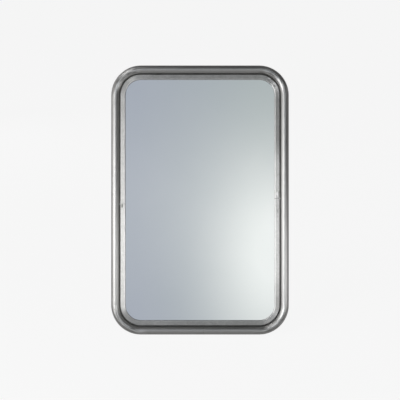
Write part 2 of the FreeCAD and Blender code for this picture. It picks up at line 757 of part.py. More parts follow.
def leg():
    """Rod bent to a square U, both ends pressed flat into eyes with a square heel above."""
    body = new_body("leg", LEG_FRAME)
    path = new_sketch(body, "LegPath")
    arm, foot = "(Sizes.leg_width / 2)", LEG_LENGTH
    corner = "Sizes.leg_corner"
    neck = "(-Sizes.eye_length + Sizes.neck_length)"
    draw_u_path(path, arm, foot, corner, neck)
    section = new_sketch(body, "LegSection", minus(neck), "XZ_Plane")
    draw_circle(section, minus(arm), "0", "Sizes.rod_diameter")
    sweep(body, section, path)
    for word, side in SIDES:
        eye = new_sketch(body, f"Eye_{word}", f"{side} * {arm}", "YZ_Plane")
        draw_eye(eye)
        pad(body, eye, "Sizes.eye_gauge", both_ways=True)
    bore = new_sketch(body, "EyeBores", "0", "YZ_Plane")
    draw_circle(bore, "0", "0", "Sizes.rivet_diameter + 2 * Sizes.turning_play")
    cut_through(body, bore)
    return body


def heel_height():
    """How far above the pivot the square heel ends, so that its corner meets the bracket."""
    reach = "(Sizes.pivot_rise - Sizes.sheet_gauge - Sizes.heel_play)"
    half = "Sizes.eye_width / 2 * cos(Sizes.opening_angle)"
    return f"(({reach} - {half}) / sin(Sizes.opening_angle))"


def draw_eye(sketch):
    """The flattened end seen from the side: square at the heel, tapering into the rod below."""
    half, rod = "(Sizes.eye_width / 2)", "(Sizes.rod_diameter / 2 - Sizes.eye_taper)"
    heel, low = heel_height(), "(-Sizes.eye_length)"
    points = [(heel, minus(half)), (heel, half), (f"{low} / 2", half), (low, rod)]
    points += [(low, minus(rod)), (f"{low} / 2", minus(half))]
    draw_polygon(sketch, points)


def draw_u_path(sketch, arm, foot, corner, neck):
    """Down the left arm, along the foot and up the right arm, with round corners."""
    x, y, r, top = value(arm), value(foot), value(corner), value(neck)
    left = Part.ArcOfCircle(Part.Circle(Vector(r - x, r - y, 0), Vector(0, 0, 1), r),
                            math.pi, 1.5 * math.pi)
    right = Part.ArcOfCircle(Part.Circle(Vector(x - r, r - y, 0), Vector(0, 0, 1), r),
                             1.5 * math.pi, 2 * math.pi)
    edges = [Part.LineSegment(Vector(-x, top, 0), left.StartPoint), left]
    edges += [Part.LineSegment(left.EndPoint, right.StartPoint), right]
    edges.append(Part.LineSegment(right.EndPoint, Vector(x, top, 0)))
    sketch.addGeometry(edges, False)
    for i in range(4):
        sketch.addConstraint(Constraint("Tangent", i, 2, i + 1, 1))
    for edge, way in ((0, "Vertical"), (2, "Horizontal"), (4, "Vertical")):
        sketch.addConstraint(Constraint(way, edge))
    sketch.addConstraint(Constraint("Equal", 1, 3))
    hold(sketch, "Radius", (1,), corner)
    pin_point(sketch, 0, 1, (minus(arm), neck))
    pin_point(sketch, 4, 2, (arm, neck))
    hold(sketch, "DistanceY", (-1, 1, 2, 1), minus(foot))


def foot_sleeve(word, side):
    """Rubber sleeve pushed over the foot of the leg."""
    body = new_body(f"foot_sleeve_{word}", LEG_FRAME)
    section = new_sketch(body, f"SleeveSection_{word}", f"{side} * Sizes.foot_side", "YZ_Plane")
    draw_circle(section, minus(LEG_LENGTH), "0", "Sizes.foot_diameter")
    draw_circle(section, minus(LEG_LENGTH), "0", "Sizes.rod_diameter")
    tube = pad(body, section, "Sizes.foot_length", both_ways=True)
    outer = value("Sizes.foot_diameter / 2")
    soften(body, tube, "Sizes.foot_round", lambda edge: hasattr(edge.Curve, "Radius")
           and abs(edge.Curve.Radius - outer) < 0.01)
    return body


# ---- the hanging plate ----

def hanger_rivet_places():
    return [(f"({side} * (Sizes.hanger_width / 2 - Sizes.hanger_ear / 2))", "Sizes.hanger_height")
            for side in ("-1", "1")]


def hanger_plate():
    """Raised keyhole plate for hanging the mirror on a screw instead of standing it."""
    body = new_body("hanger_plate")
    outline = new_sketch(body, "HangerOutline", BRACKET_BACK)
    half_y = "(Sizes.keyhole_travel + Sizes.hanger_margin)"
    middle = ("0", "Sizes.hanger_height")
    draw_rounded(outline, "(Sizes.hanger_width / 2)", half_y, "Sizes.bracket_corner", middle)
    pad(body, outline, "Sizes.sheet_gauge")
    raised = new_sketch(body, "HangerRaised", f"{BRACKET_BACK} - Sizes.hanger_rise")
    half_x = "(Sizes.hanger_width / 2 - Sizes.hanger_ear)"
    draw_rounded(raised, half_x, half_y, "Sizes.hanger_corner", middle)
    pad(body, raised, "Sizes.hanger_rise + Sizes.sheet_gauge")
    channel = new_sketch(body, "HangerHollow", BACK)
    draw_rounded(channel, f"({half_x} - Sizes.sheet_gauge)", f"({half_y} - Sizes.sheet_gauge)",
                 "Sizes.hollow_corner", middle)
    doc.recompute()
    hollow = body.newObject("PartDesign::Pocket", "HangerHollowCut")
    hollow.Profile = channel
    hollow.setExpression("Length", "Sizes.hanger_rise")
    doc.recompute()
    keyhole = new_sketch(body, "Keyhole", BACK)
    draw_keyhole(keyhole)
    cut_through(body, keyhole)
    rivets = new_sketch(body, "HangerRivetHoles", BACK)
    for x, y in hanger_rivet_places():
        draw_circle(rivets, x, y, "Sizes.rivet_diameter + 2 * Sizes.hole_play")
    cut_through(body, rivets)
    return body


def draw_keyhole(sketch):
    """A round hole low down that lets a screw's head in, and a slot up from it."""
    low = "(Sizes.hanger_height - Sizes.keyhole_travel / 2)"
    radius, half = value("Sizes.keyhole_diameter / 2"), value("Sizes.keyhole_slot / 2")
    centre = Vector(0, value(low), 0)
    rise = math.sqrt(radius ** 2 - half ** 2)
    start = math.atan2(rise, half)
    top = Vector(0, value(f"{low} + Sizes.keyhole_travel"), 0)
    big = Part.ArcOfCircle(Part.Circle(centre, Vector(0, 0, 1), radius),
                           math.pi - start, 2 * math.pi + start)
    small = Part.ArcOfCircle(Part.Circle(top, Vector(0, 0, 1), half), 0, math.pi)
    edges = [big, Part.LineSegment(big.EndPoint, small.StartPoint), small]
    edges.append(Part.LineSegment(small.EndPoint, big.StartPoint))
    sketch.addGeometry(edges, False)
    sketch.addConstraint(Constraint("Coincident", 0, 2, 1, 1))
    sketch.addConstraint(Constraint("Tangent", 1, 2, 2, 1))
    sketch.addConstraint(Constraint("Tangent", 2, 2, 3, 1))
    sketch.addConstraint(Constraint("Coincident", 3, 2, 0, 1))
    sketch.addConstraint(Constraint("Vertical", 1))
    hold(sketch, "Diameter", (0,), "Sizes.keyhole_diameter")
    hold(sketch, "Diameter", (2,), "Sizes.keyhole_slot")
    pin_point(sketch, 0, 3, ("0", low))
    pin_point(sketch, 2, 3, ("0", f"{low} + Sizes.keyhole_travel"))


def hanger_rivets():
    pieces = []
    for number, (x, y) in enumerate(hanger_rivet_places()):
        pieces.append(rivet(f"HangerRivet{number}", x, y, PANEL_FRONT, BRACKET_BACK))
    return group("hanger_rivets", pieces)


# ---- the whole mirror ----

def build():
    nodes = [tube_frame(), tube_spigot(), tube_weld()]
    upper, lower = rim_upper(), rim_lower()
    drill_rim(upper, True)
    drill_rim(lower, False)
    nodes += [upper, lower]
    nodes.append(seam_weld("seam_weld_left", "-1", "Sizes.seam_left"))
    nodes.append(seam_weld("seam_weld_right", "1", "Sizes.seam_right"))
    nodes.append(rim_tack_welds())
    nodes += [glazing_tape(), mirror_pane(), setting_blocks(), backing_card(), back_panel()]
    nodes += [turn_button(*one) for one in button_places()]
    nodes.append(turn_button_rivets())
    for word, side in SIDES:
        nodes.append(leg_bracket(word, side))
        nodes.append(leg_pivot_pin(word, side))
        nodes.append(foot_sleeve(word, side))
    nodes += [bracket_rivets(), leg(), hanger_plate(), hanger_rivets()]
    doc.recompute()
    return nodes


def check(nodes):
    """Stops at any object that failed to build, before a file is written."""
    for thing in doc.Objects:
        if "Invalid" in thing.State or "Error" in thing.State:
            raise RuntimeError(f"{thing.Name} did not build: {thing.State}")
    for node in nodes:
        if node.Shape.isNull() or not node.Shape.isValid() or not node.Shape.Solids:
            raise RuntimeError(f"{node.Label} has no sound shape")


def write(nodes):
    os.makedirs("parts", exist_ok=True)
    for node in nodes:
        node.Shape.exportStep(os.path.join("parts", node.Label + ".step"))
        volume = node.Shape.Volume / 1000
        print(f"{node.Label}: {len(node.Shape.Solids)} solid(s), {volume:.2f} cm3")


fill_sheet()
NODES = build()
check(NODES)
write(NODES)
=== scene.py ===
"""Looks of a leaning counter mirror: burnished steel tube, brushed sheet rim and silvered pane,
and behind them a fibre-board back, zinc-plated fittings and a fold-out rod leg.

Most pieces are modelled flat in the mirror's own frame (X right, Y up the pane, Z out of the
front) and then leaned back into place. Lengths are in metres.
"""

import json
import math
import random

import bpy
from mathutils import Matrix, Vector


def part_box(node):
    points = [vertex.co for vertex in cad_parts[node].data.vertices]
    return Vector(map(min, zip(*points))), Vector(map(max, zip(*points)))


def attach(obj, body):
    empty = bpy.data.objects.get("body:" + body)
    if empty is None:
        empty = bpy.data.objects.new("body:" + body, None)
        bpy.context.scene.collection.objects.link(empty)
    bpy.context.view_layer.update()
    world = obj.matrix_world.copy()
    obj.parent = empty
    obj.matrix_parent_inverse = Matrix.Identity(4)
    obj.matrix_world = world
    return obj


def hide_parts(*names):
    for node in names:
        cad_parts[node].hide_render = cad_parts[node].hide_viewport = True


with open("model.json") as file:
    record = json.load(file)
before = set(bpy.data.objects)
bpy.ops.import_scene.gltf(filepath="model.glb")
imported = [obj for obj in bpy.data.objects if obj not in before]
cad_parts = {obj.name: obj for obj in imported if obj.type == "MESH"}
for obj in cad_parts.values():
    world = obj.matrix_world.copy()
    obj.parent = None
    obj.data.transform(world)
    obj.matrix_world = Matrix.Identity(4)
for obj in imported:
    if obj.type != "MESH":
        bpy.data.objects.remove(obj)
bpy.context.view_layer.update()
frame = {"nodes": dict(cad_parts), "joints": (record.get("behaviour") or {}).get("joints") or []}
nodes = frame["nodes"]
MM = 0.001


# ---- Where the mirror stands ----
# The turn buttons' swivels point straight out of the back, which gives the lean. The tube loop's
# box is centred on the pane's middle, and its height gives the loop's length up the pane.

joints = {joint["name"]: joint for joint in frame["joints"]}
tube_radius = 6 * MM
tube_low, tube_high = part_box("tube_frame")
middle = (tube_low + tube_high) / 2
outward = -Vector(joints["turn_button_top_swivel"]["axis"])
upward = outward.cross(Vector((1, 0, 0)))
LEAN = Matrix((Vector((1, 0, 0)), upward, outward)).transposed().to_4x4()
LEAN.translation = middle
lean_angle = math.asin(outward.z)
path_x = tube_high.x - tube_radius
path_y = (middle.z - tube_radius) / math.cos(lean_angle)


# ---- Floor ----
# A pale seamless sweep. To the eye it is as even as the backdrop, with a faint contact shadow,
# and it sends only a dim tone up into the metal.

backdrop_tone = 0.9216
paper_tone, paper_glow, glow_to_metal = 0.06, 0.902, 0.30


def recipe(name):
    """A new material with nothing in it but its output."""
    material = bpy.data.materials.new(name)
    material.use_nodes = True
    tree = material.node_tree
    tree.nodes.clear()
    tree.nodes.new("ShaderNodeOutputMaterial")
    return material, tree


def node(tree, kind, **settings):
    """Adds a shader node. Settings name its properties, or its inputs with _ for a space."""
    made = tree.nodes.new("ShaderNode" + kind)
    for key, value in settings.items():
        if hasattr(made, key):
            setattr(made, key, value)
            continue
        numbered = key[:2] == "in" and key[2:].isdigit()
        socket = made.inputs[int(key[2:]) if numbered else key.replace("_", " ")]
        if isinstance(value, bpy.types.NodeSocket):
            tree.links.new(value, socket)
        else:
            socket.default_value = value
    return made


def calc(tree, operation, *terms):
    """One sum on shader values."""
    inputs = {f"in{i}": term for i, term in enumerate(terms)}
    return node(tree, "Math", operation=operation, **inputs).outputs[0]


def mix_colours(tree, amount, first, second):
    """Between two colours, each given as a colour or as a link."""
    mixer = node(tree, "Mix", data_type="RGBA", in0=amount)
    for socket, colour in ((6, first), (7, second)):
        if isinstance(colour, bpy.types.NodeSocket):
            tree.links.new(colour, mixer.inputs[socket])
        else:
            mixer.inputs[socket].default_value = (*colour, 1)
    return mixer.outputs[2]


def finish_with(tree, shader):
    """Sends a shader to the material's output."""
    target = next(one for one in tree.nodes if one.type == "OUTPUT_MATERIAL")
    tree.links.new(shader.outputs[0], target.inputs["Surface"])


def studio_plane(name, size, place):
    """A flat sheet that belongs to the studio and not to the mirror."""
    bpy.ops.object.select_all(action="DESELECT")
    bpy.ops.mesh.primitive_plane_add(size=1)
    plane = bpy.context.object
    plane.name = name
    plane.matrix_world = Matrix.Translation(place) @ Matrix.Diagonal((*size, 1, 1))
    return plane


floor = studio_plane("floor", (14, 14), (0, 0, -0.2 * MM))
material, tree = recipe("pale_floor")
paper = node(tree, "BsdfDiffuse", Color=(paper_tone, paper_tone, paper_tone, 1))
glow = node(tree, "Emission", Strength=paper_glow)
seen = node(tree, "AddShader", in0=paper.outputs[0], in1=glow.outputs[0])
dim = node(tree, "Emission", Strength=glow_to_metal)
rays = node(tree, "LightPath")
both = node(tree, "MixShader", in0=rays.outputs["Is Camera Ray"], in1=dim.outputs[0],
            in2=seen.outputs[0])
finish_with(tree, both)
floor.data.materials.append(material)


# ---- Camera ----
# Square to the pane, so it looks down by the lean, from far enough off to keep the sides straight.

camera_distance = 2.2
view_width = 0.5859
lens_data = bpy.data.cameras.new("camera")
camera = bpy.data.objects.new("camera", lens_data)
bpy.context.scene.collection.objects.link(camera)
camera.matrix_world = LEAN @ Matrix.Translation((0, 0, camera_distance))
lens_data.sensor_width = 36
lens_data.lens = lens_data.sensor_width * camera_distance / view_width
lens_data.clip_end = 50
bpy.context.scene.camera = camera
bpy.context.scene.view_settings.view_transform = "Standard"


# ---- Studio light ----
# A dim room, with a wall card behind the camera that the pane shows, lit towards its lower right.
# A soft box on the left and a weaker card on the right draw the long highlights, and two more
# cards light the top run and the back.

world = bpy.data.worlds.new("studio")
bpy.context.scene.world = world
world.use_nodes = True
tree = world.node_tree
tree.nodes.clear()
coords = node(tree, "TexCoord")
turned = node(tree, "Mapping", vector_type="VECTOR", Vector=coords.outputs["Generated"],
              Rotation=(lean_angle - math.pi / 2, 0, 0))
parts = node(tree, "SeparateXYZ", Vector=turned.outputs[0])
bearing = calc(tree, "ARCTAN2", parts.outputs["X"], parts.outputs["Z"])
rise = calc(tree, "ARCSINE", parts.outputs["Y"])


def ramp(tree, value, start, end, strength=1.0, kind="SMOOTHSTEP"):
    """Goes from nothing where a value is at start to full strength where it is at end."""
    return node(tree, "MapRange", interpolation_type=kind, Value=value, From_Min=start,
                From_Max=end, To_Max=strength).outputs[0]


def slope(tree, value, start, end, strength=1.0):
    """The same along a straight line."""
    return ramp(tree, value, start, end, strength, "LINEAR")


def soft_patch(tree, place, centre, spread, strength):
    """A round patch of light that fades smoothly outwards, on two given scales."""
    total = 0.0
    for axis in (0, 1):
        away = calc(tree, "DIVIDE", calc(tree, "SUBTRACT", place[axis], centre[axis]), spread[axis])
        total = calc(tree, "ADD", calc(tree, "MULTIPLY", away, away), total)
    fall = calc(tree, "EXPONENT", calc(tree, "MULTIPLY", total, -1))
    return calc(tree, "MULTIPLY", fall, strength)


left_glow = ((-85, 0), (34, 45), 0.8)
right_glow = ((95, 0), (30, 40), 0.15)
room = 0.10
for centre, spread, strength in (left_glow, right_glow):
    centre = [math.radians(angle) for angle in centre]
    spread = [math.radians(angle) for angle in spread]
    room = calc(tree, "ADD", soft_patch(tree, (bearing, rise), centre, spread, strength), room)
behind = ramp(tree, parts.outputs["Z"], -0.3, -0.95, 0.75)
room = calc(tree, "ADD", behind, room)
lit = node(tree, "Background", Strength=room)
backdrop = node(tree, "Background", Color=(backdrop_tone, backdrop_tone, backdrop_tone, 1))
rays = node(tree, "LightPath")
both = node(tree, "MixShader", in0=rays.outputs["Is Camera Ray"], in1=lit.outputs[0],
            in2=backdrop.outputs[0])
node(tree, "OutputWorld", Surface=both.outputs[0])

unlit = (0, 0, 0)


def light_card(name, place, size, bright, patches, dull=(unlit, unlit)):
    """A glowing card that faces the mirror, unseen by the camera and fading out at its edges.

    Its tone is bright where its patches lie, each given as a centre, a spread and a strength.
    Elsewhere it goes from one dull tone on its left to another on its right, as the camera sees it.
    """
    spot = Vector(place)
    towards = -spot.normalized()
    sideways = Vector((0, 1, 0)).cross(towards).normalized()
    facing = Matrix((sideways, towards.cross(sideways), towards)).transposed().to_4x4()
    card = studio_plane(name, size, (0, 0, 0))
    card.matrix_world = LEAN @ Matrix.Translation(spot) @ facing @ Matrix.Diagonal((*size, 1, 1))
    card.visible_camera = False
    material, tree = recipe(name)
    ends = node(tree, "SeparateXYZ", Vector=node(tree, "TexCoord").outputs["UV"]).outputs
    across = calc(tree, "MULTIPLY", calc(tree, "SUBTRACT", 0.5, ends["X"]), size[0])
    height = calc(tree, "MULTIPLY", calc(tree, "SUBTRACT", ends["Y"], 0.5), size[1])
    amount = 0.0
    for centre, spread, strength in patches:
        patch = soft_patch(tree, (across, height), centre, spread, strength)
        amount = calc(tree, "ADD", patch, amount)
    fade = 1.0
    for end in (ends["X"], ends["Y"]):
        near = calc(tree, "MINIMUM", end, calc(tree, "SUBTRACT", 1, end))
        fade = calc(tree, "MULTIPLY", ramp(tree, near, 0, 0.2), fade)
    sweep = slope(tree, across, -0.2, 0.2)
    tone = mix_colours(tree, amount, mix_colours(tree, sweep, *dull), bright)
    glow = node(tree, "Emission", Color=tone)
    clear = node(tree, "BsdfTransparent")
    finish_with(tree, node(tree, "MixShader", in0=fade, in1=clear.outputs[0], in2=glow.outputs[0]))
    card.data.materials.append(material)


window_light = ((0.24, -0.19), (0.20, 0.33), 0.96)
window_spill = ((-0.02, -0.02), (0.45, 0.32), 0.19)
ceiling_light = ((-0.35, 0.74), (0.34, 0.15), 1.5)
floor_light = ((-0.30, -0.74), (0.40, 0.15), 1.2)
light_card("wall_card", (0, 0, 2.6), (1.9, 1.9), (1.08, 1.10, 1.09),
           [window_light, window_spill, ceiling_light, floor_light],
           dull=((0.455, 0.490, 0.572), (0.480, 0.530, 0.545)))
light_card("fill_card", (0.62, -0.15, 0.62), (0.9, 0.8), (2.2, 2.2, 2.2),
           [((0, 0), (0.36, 0.12), 1.0)])
light_card("soft_box", (-0.62, -0.06, 0.75), (1.04, 1.1), (4.3, 4.3, 4.3),
           [((0.17, 0), (0.50, 0.33), 1.0)])
light_card("top_card", (-0.75, 1.25, 1.5), (1.6, 1.6), (4.2, 4.2, 4.2),
           [((0, 0), (0.35, 0.35), 1.0)])
light_card("back_card", (-0.9, 0.9, -1.5), (1.3, 1.3), (2.6, 2.6, 2.6),
           [((0, 0), (0.5, 0.5), 1.0)])


# ---- Frame tube ----
# Round steel tube bent cold into one loop and burnished by hand along its length. Its ends meet
# in the bottom run, a little right of the middle.

corner_bend, tube_bore = 37.5 * MM, 4.8 * MM


def work_on(piece, mode="OBJECT"):
    """Makes one piece the only one selected, in object or edit mode."""
    if bpy.context.object and bpy.context.object.mode != "OBJECT":
        bpy.ops.object.mode_set(mode="OBJECT")
    bpy.ops.object.select_all(action="DESELECT")
    if piece:
        piece.select_set(True)
        bpy.context.view_layer.objects.active = piece
        bpy.ops.object.mode_set(mode=mode)


def begin(name):
    """Takes up the primitive just added as a new piece, in edit mode with all of it selected."""
    piece = bpy.context.object
    piece.name = name
    bpy.ops.object.transform_apply(location=True, rotation=True, scale=True)
    work_on(piece, "EDIT")
    bpy.ops.mesh.select_all(action="SELECT")
    return piece


def pick(piece, kind, test):
    """In edit mode, selects the vertices, edges or faces of which a test is true."""
    bpy.ops.object.mode_set(mode="OBJECT")
    mesh = piece.data
    for items in (mesh.vertices, mesh.edges, mesh.polygons):
        items.foreach_set("select", [False] * len(items))
    if kind == "VERT":
        for corner in mesh.vertices:
            corner.select = test(corner.co)
    elif kind == "EDGE":
        for edge in mesh.edges:
            first, second = (mesh.vertices[i].co for i in edge.vertices)
            edge.select = test(first) and test(second)
    else:
        for face in mesh.polygons:
            face.select = test(face.center, face.normal)
    bpy.ops.object.mode_set(mode="EDIT")
    bpy.ops.mesh.select_mode(type=kind)


def extrude(x=0.0, y=0.0, z=0.0):
    """Draws out what is selected by a distance along each axis."""
    bpy.ops.mesh.extrude_region_move(TRANSFORM_OT_translate={"value": (x, y, z)})


def close_up():
    """Merges doubles and turns every face outwards."""
    bpy.ops.mesh.select_all(action="SELECT")
    bpy.ops.mesh.remove_doubles(threshold=1e-6)
    bpy.ops.mesh.normals_make_consistent(inside=False)
    bpy.ops.object.mode_set(mode="OBJECT")


def apply_modifier(piece, kind, **settings):
    """Gives a piece a modifier with some settings and makes it part of the mesh at once."""
    work_on(piece)
    modifier = piece.modifiers.new(kind.lower(), kind)
    for key, value in settings.items():
        setattr(modifier, key, value)
    bpy.ops.object.modifier_apply(modifier=modifier.name)


def soften(piece, width, segments=2, angle=40):
    """Rounds a piece's sharp edges."""
    apply_modifier(piece, "BEVEL", width=width, segments=segments, limit_method="ANGLE",
                   angle_limit=math.radians(angle), harden_normals=False)


def stand(piece, place=LEAN):
    """Leans a piece modelled flat into its place, and leaves its object at the origin."""
    work_on(piece)
    bpy.ops.object.shade_smooth_by_angle(angle=math.radians(35))
    apply_modifier(piece, "WEIGHTED_NORMAL", keep_sharp=True)
    piece.data.transform(place @ piece.matrix_world)
    piece.matrix_world = Matrix.Identity(4)


def dress(piece, slot, body, material, *replaced):
    """Gives a new piece its finish and the body it rides on, and hides the nodes it stands for. Its
    slot is not used.
    """
    piece.data.materials.clear()
    piece.data.materials.append(material)
    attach(piece, body)
    if replaced:
        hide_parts(*replaced)


def round_loop(x, y, half_x, half_y, corner):
    """How far along a rounded rectangle a point lies from its right side, and how far outside."""
    straight_x, straight_y = half_x - corner, half_y - corner
    over_x, over_y = abs(x) - straight_x, abs(y) - straight_y
    quarter = corner * math.pi / 2
    if over_x > 0 and over_y > 0:
        along = straight_y + math.atan2(over_y, over_x) * corner
        outside = math.hypot(over_x, over_y) - corner
    elif over_x > over_y:
        along, outside = abs(y), abs(x) - half_x
    else:
        along, outside = straight_y + quarter + straight_x - abs(x), abs(y) - half_y
    half_way = 2 * (straight_x + straight_y) + 2 * quarter
    if x < 0:
        along = half_way - along
    return along if y >= 0 else -along, outside


def lay_grain(piece, locate, wraps=(0, 0)):
    """A map of the surface in metres for the grain: U across it and V along it.

    A face that lies over the map's join keeps its corners together.
    """
    mesh = piece.data
    while mesh.uv_layers:
        mesh.uv_layers.remove(mesh.uv_layers[0])
    layer = mesh.uv_layers.new(name="grain")
    for face in mesh.polygons:
        first = None
        for index in face.loop_indices:
            spot = list(locate(mesh.vertices[mesh.loops[index].vertex_index].co))
            first = first or spot
            for axis, wrap in enumerate(wraps):
                if wrap and abs(spot[axis] - first[axis]) > wrap / 2:
                    spot[axis] -= math.copysign(wrap, spot[axis] - first[axis])
            layer.data[index].uv = spot


def effect(name, inputs, outputs):
    """A shader node group with the given inputs and outputs, ready to be filled."""
    tree = bpy.data.node_groups.new(name, "ShaderNodeTree")
    for label, kind, value in inputs:
        socket = tree.interface.new_socket(label, in_out="INPUT", socket_type="NodeSocket" + kind)
        if value is not None:
            socket.default_value = value
    for label, kind in outputs:
        tree.interface.new_socket(label, in_out="OUTPUT", socket_type="NodeSocket" + kind)
    source = tree.nodes.new("NodeGroupInput").outputs
    target = tree.nodes.new("NodeGroupOutput").inputs
    return tree, source, target


# fine scratches that run along V, from broad strokes to hairlines
grain_group, source, target = effect(
    "Grain", [("Map", "Vector", None), ("Across", "Float", 2600), ("Along", "Float", 30)],
    [("Lines", "Float")])
blend = 0.0
for wide, long, share in ((0.23, 0.6, 0.4), (1.0, 1.0, 0.6)):
    stretch = node(grain_group, "CombineXYZ",
                   X=calc(grain_group, "MULTIPLY", source["Across"], wide),
                   Y=calc(grain_group, "MULTIPLY", source["Along"], long))
    place = node(grain_group, "VectorMath", operation="MULTIPLY", in0=source["Map"],
                 in1=stretch.outputs[0])
    noise = node(grain_group, "TexNoise", Vector=place.outputs[0], Scale=1, Detail=3,
                 Roughness=0.6)
    blend = calc(grain_group, "MULTIPLY_ADD", noise.outputs["Fac"], share, blend)
grain_group.links.new(slope(grain_group, blend, 0.3, 0.7), target["Lines"])

# cloudy unevenness, as mill scale, handling and polishing leave it
cloud_group, source, target = effect(
    "Clouds", [("Place", "Vector", None), ("Size", "Float", 60), ("Sharpness", "Float", 0.5)],
    [("Clouds", "Float")])
noise = node(cloud_group, "TexNoise", Vector=source["Place"], Scale=source["Size"], Detail=4,
             Roughness=source["Sharpness"], Distortion=0.4)
cloud_group.links.new(slope(cloud_group, noise.outputs["Fac"], 0.3, 0.7), target["Clouds"])

# brown and blue bands that welding heat leaves round the tacks behind the frame
heat_group, source, target = effect("Weld heat", [("Place", "Vector", None)], [("Heat", "Float")])
tack_rows = (141.84 * MM, 47.28 * MM)
tack_columns = (57.2 * MM,)
tack_x, tack_y = 126.5 * MM, 193.5 * MM
heat_level, heat_core, heat_reach = -6.8 * MM, 1.5 * MM, 9.5 * MM
half_tack = 4 * MM
parts = node(heat_group, "SeparateXYZ", Vector=source["Place"]).outputs
out_x = calc(heat_group, "ABSOLUTE", parts["X"])
out_y = calc(heat_group, "ABSOLUTE", parts["Y"])
depth = calc(heat_group, "SUBTRACT", parts["Z"], heat_level)
heat = 0.0
for rows, along, edge, across in ((tack_rows, out_y, tack_x, out_x),
                                  (tack_columns, out_x, tack_y, out_y)):
    far = calc(heat_group, "SUBTRACT", edge, across)
    for row in rows:
        near = calc(heat_group, "ABSOLUTE", calc(heat_group, "SUBTRACT", along, row))
        near = calc(heat_group, "MAXIMUM", calc(heat_group, "SUBTRACT", near, half_tack), 0)
        reach = node(heat_group, "CombineXYZ", X=near, Y=far, Z=depth).outputs[0]
        distance = node(heat_group, "VectorMath", operation="LENGTH", in0=reach).outputs["Value"]
        heat = calc(heat_group, "MAXIMUM", slope(heat_group, distance, heat_reach, heat_core), heat)
heat_group.links.new(heat, target["Heat"])


def use(tree, group, **inputs):
    """Places a shader node group in a material."""
    made = tree.nodes.new("ShaderNodeGroup")
    made.node_tree = group
    for key, value in inputs.items():
        if isinstance(value, bpy.types.NodeSocket):
            tree.links.new(value, made.inputs[key])
        else:
            made.inputs[key].default_value = value
    return made.outputs


def flat_place(tree, place=LEAN):
    """Object coordinates seen in the mirror's own frame."""
    return node(tree, "Mapping", vector_type="TEXTURE", Location=place.to_translation(),
                Rotation=place.to_euler(), Vector=node(tree, "TexCoord").outputs["Object"]).outputs[0]


def brushed_metal(name, dark, light, rough, across, along, clouds, cloudy, lines,
                  anisotropy=0.85, heated=False, painted_shade=None, wear_and_painted_light=None):
    """Metal with a drawn or brushed grain along V that spreads its reflections across the grain.

    Across and along set how fine the grain is, clouds how fine the clouds are, and cloudy and
    lines how strongly they show.
    """
    material, tree = recipe(name)
    map_uv = node(tree, "UVMap", uv_map="grain").outputs[0]
    here = flat_place(tree)
    strokes = use(tree, grain_group, Map=map_uv, Across=across, Along=along)["Lines"]
    cloud = use(tree, cloud_group, Place=here, Size=clouds, Sharpness=0.6)["Clouds"]
    patches = use(tree, cloud_group, Place=here, Size=clouds * 6, Sharpness=0.5)["Clouds"]
    shade = calc(tree, "MULTIPLY_ADD", calc(tree, "SUBTRACT", strokes, 0.5), lines, 0.5)
    shade = calc(tree, "MULTIPLY_ADD", calc(tree, "SUBTRACT", cloud, 0.5), cloudy, shade)
    shade = calc(tree, "MULTIPLY_ADD", calc(tree, "SUBTRACT", patches, 0.5), cloudy * 0.6, shade)
    colour = mix_colours(tree, shade, dark, light)
    if heated:
        heat = use(tree, heat_group, Place=here)["Heat"]
        heat = calc(tree, "MULTIPLY_ADD", calc(tree, "SUBTRACT", cloud, 0.5), 0.25, heat)
        tint = node(tree, "ValToRGB", Fac=heat)
        stops = tint.color_ramp.elements
        stops[0].position, stops[0].color = 0.15, (1, 1, 1, 1)
        stops[1].position, stops[1].color = 0.45, (0.95, 0.72, 0.42, 1)
        for position, tone in ((0.65, (0.42, 0.36, 0.62, 1)), (0.9, (0.30, 0.28, 0.28, 1))):
            stops.new(position).color = tone
        colour = node(tree, "Mix", data_type="RGBA", blend_type="MULTIPLY", in0=1.0, in6=colour,
                      in7=tint.outputs[0]).outputs[2]
    # dull and bright strokes of wear; on the rim also painted shade near the right side's ends and a
    # painted highlight along the lip's fold
    if wear_and_painted_light:
        bright, dull = wear_and_painted_light(tree, map_uv, here)
        colour = mix_colours(tree, dull, colour, (0.16, 0.155, 0.15))
        colour = mix_colours(tree, bright, colour, (0.97, 0.965, 0.955))
    # painted shade: the metal darkened towards near black in the crevice and along the lip's inner edge
    if painted_shade:
        colour = mix_colours(tree, painted_shade(tree, map_uv), colour, (0.09, 0.08, 0.07))
    gloss = calc(tree, "MULTIPLY_ADD", calc(tree, "SUBTRACT", strokes, 0.5), 0.06, rough)
    gloss = calc(tree, "MULTIPLY_ADD", calc(tree, "SUBTRACT", cloud, 0.5), 0.03, gloss)
    bump = node(tree, "Bump", Strength=0.06, Distance=0.00002, Height=strokes)
    shader = node(tree, "BsdfPrincipled", Base_Color=colour, Metallic=1.0, Roughness=gloss,
                  Anisotropic=anisotropy, Normal=bump.outputs[0])
    tangent = node(tree, "Tangent", direction_type="UV_MAP", uv_map="grain")
    tree.links.new(tangent.outputs[0], shader.inputs["Tangent"])
    finish_with(tree, shader)
    return material


def tube_map(point):
    """Round the tube from the side that faces the rim, and along it."""
    along, outside = round_loop(point.x, point.y, path_x, path_y, corner_bend)
    return math.atan2(point.z, -outside) * tube_radius, along


loop_length = 4 * (path_x + path_y - 2 * corner_bend) + 2 * math.pi * corner_bend
joint_low, joint_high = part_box("tube_weld")


def begin_ring(name, outer, inner, centre, count):
    """Takes up a flat ring that faces along X, ready to be drawn out into a tube."""
    work_on(None)
    bpy.ops.mesh.primitive_circle_add(vertices=count, radius=outer, location=centre,
                                      rotation=(0, math.pi / 2, 0))
    piece = begin(name)
    bpy.ops.mesh.select_all(action="DESELECT")
    bpy.ops.mesh.primitive_circle_add(vertices=count, radius=inner, location=centre,
                                      rotation=(0, math.pi / 2, 0))
    bpy.ops.mesh.select_all(action="SELECT")
    bpy.ops.mesh.bridge_edge_loops()
    return piece


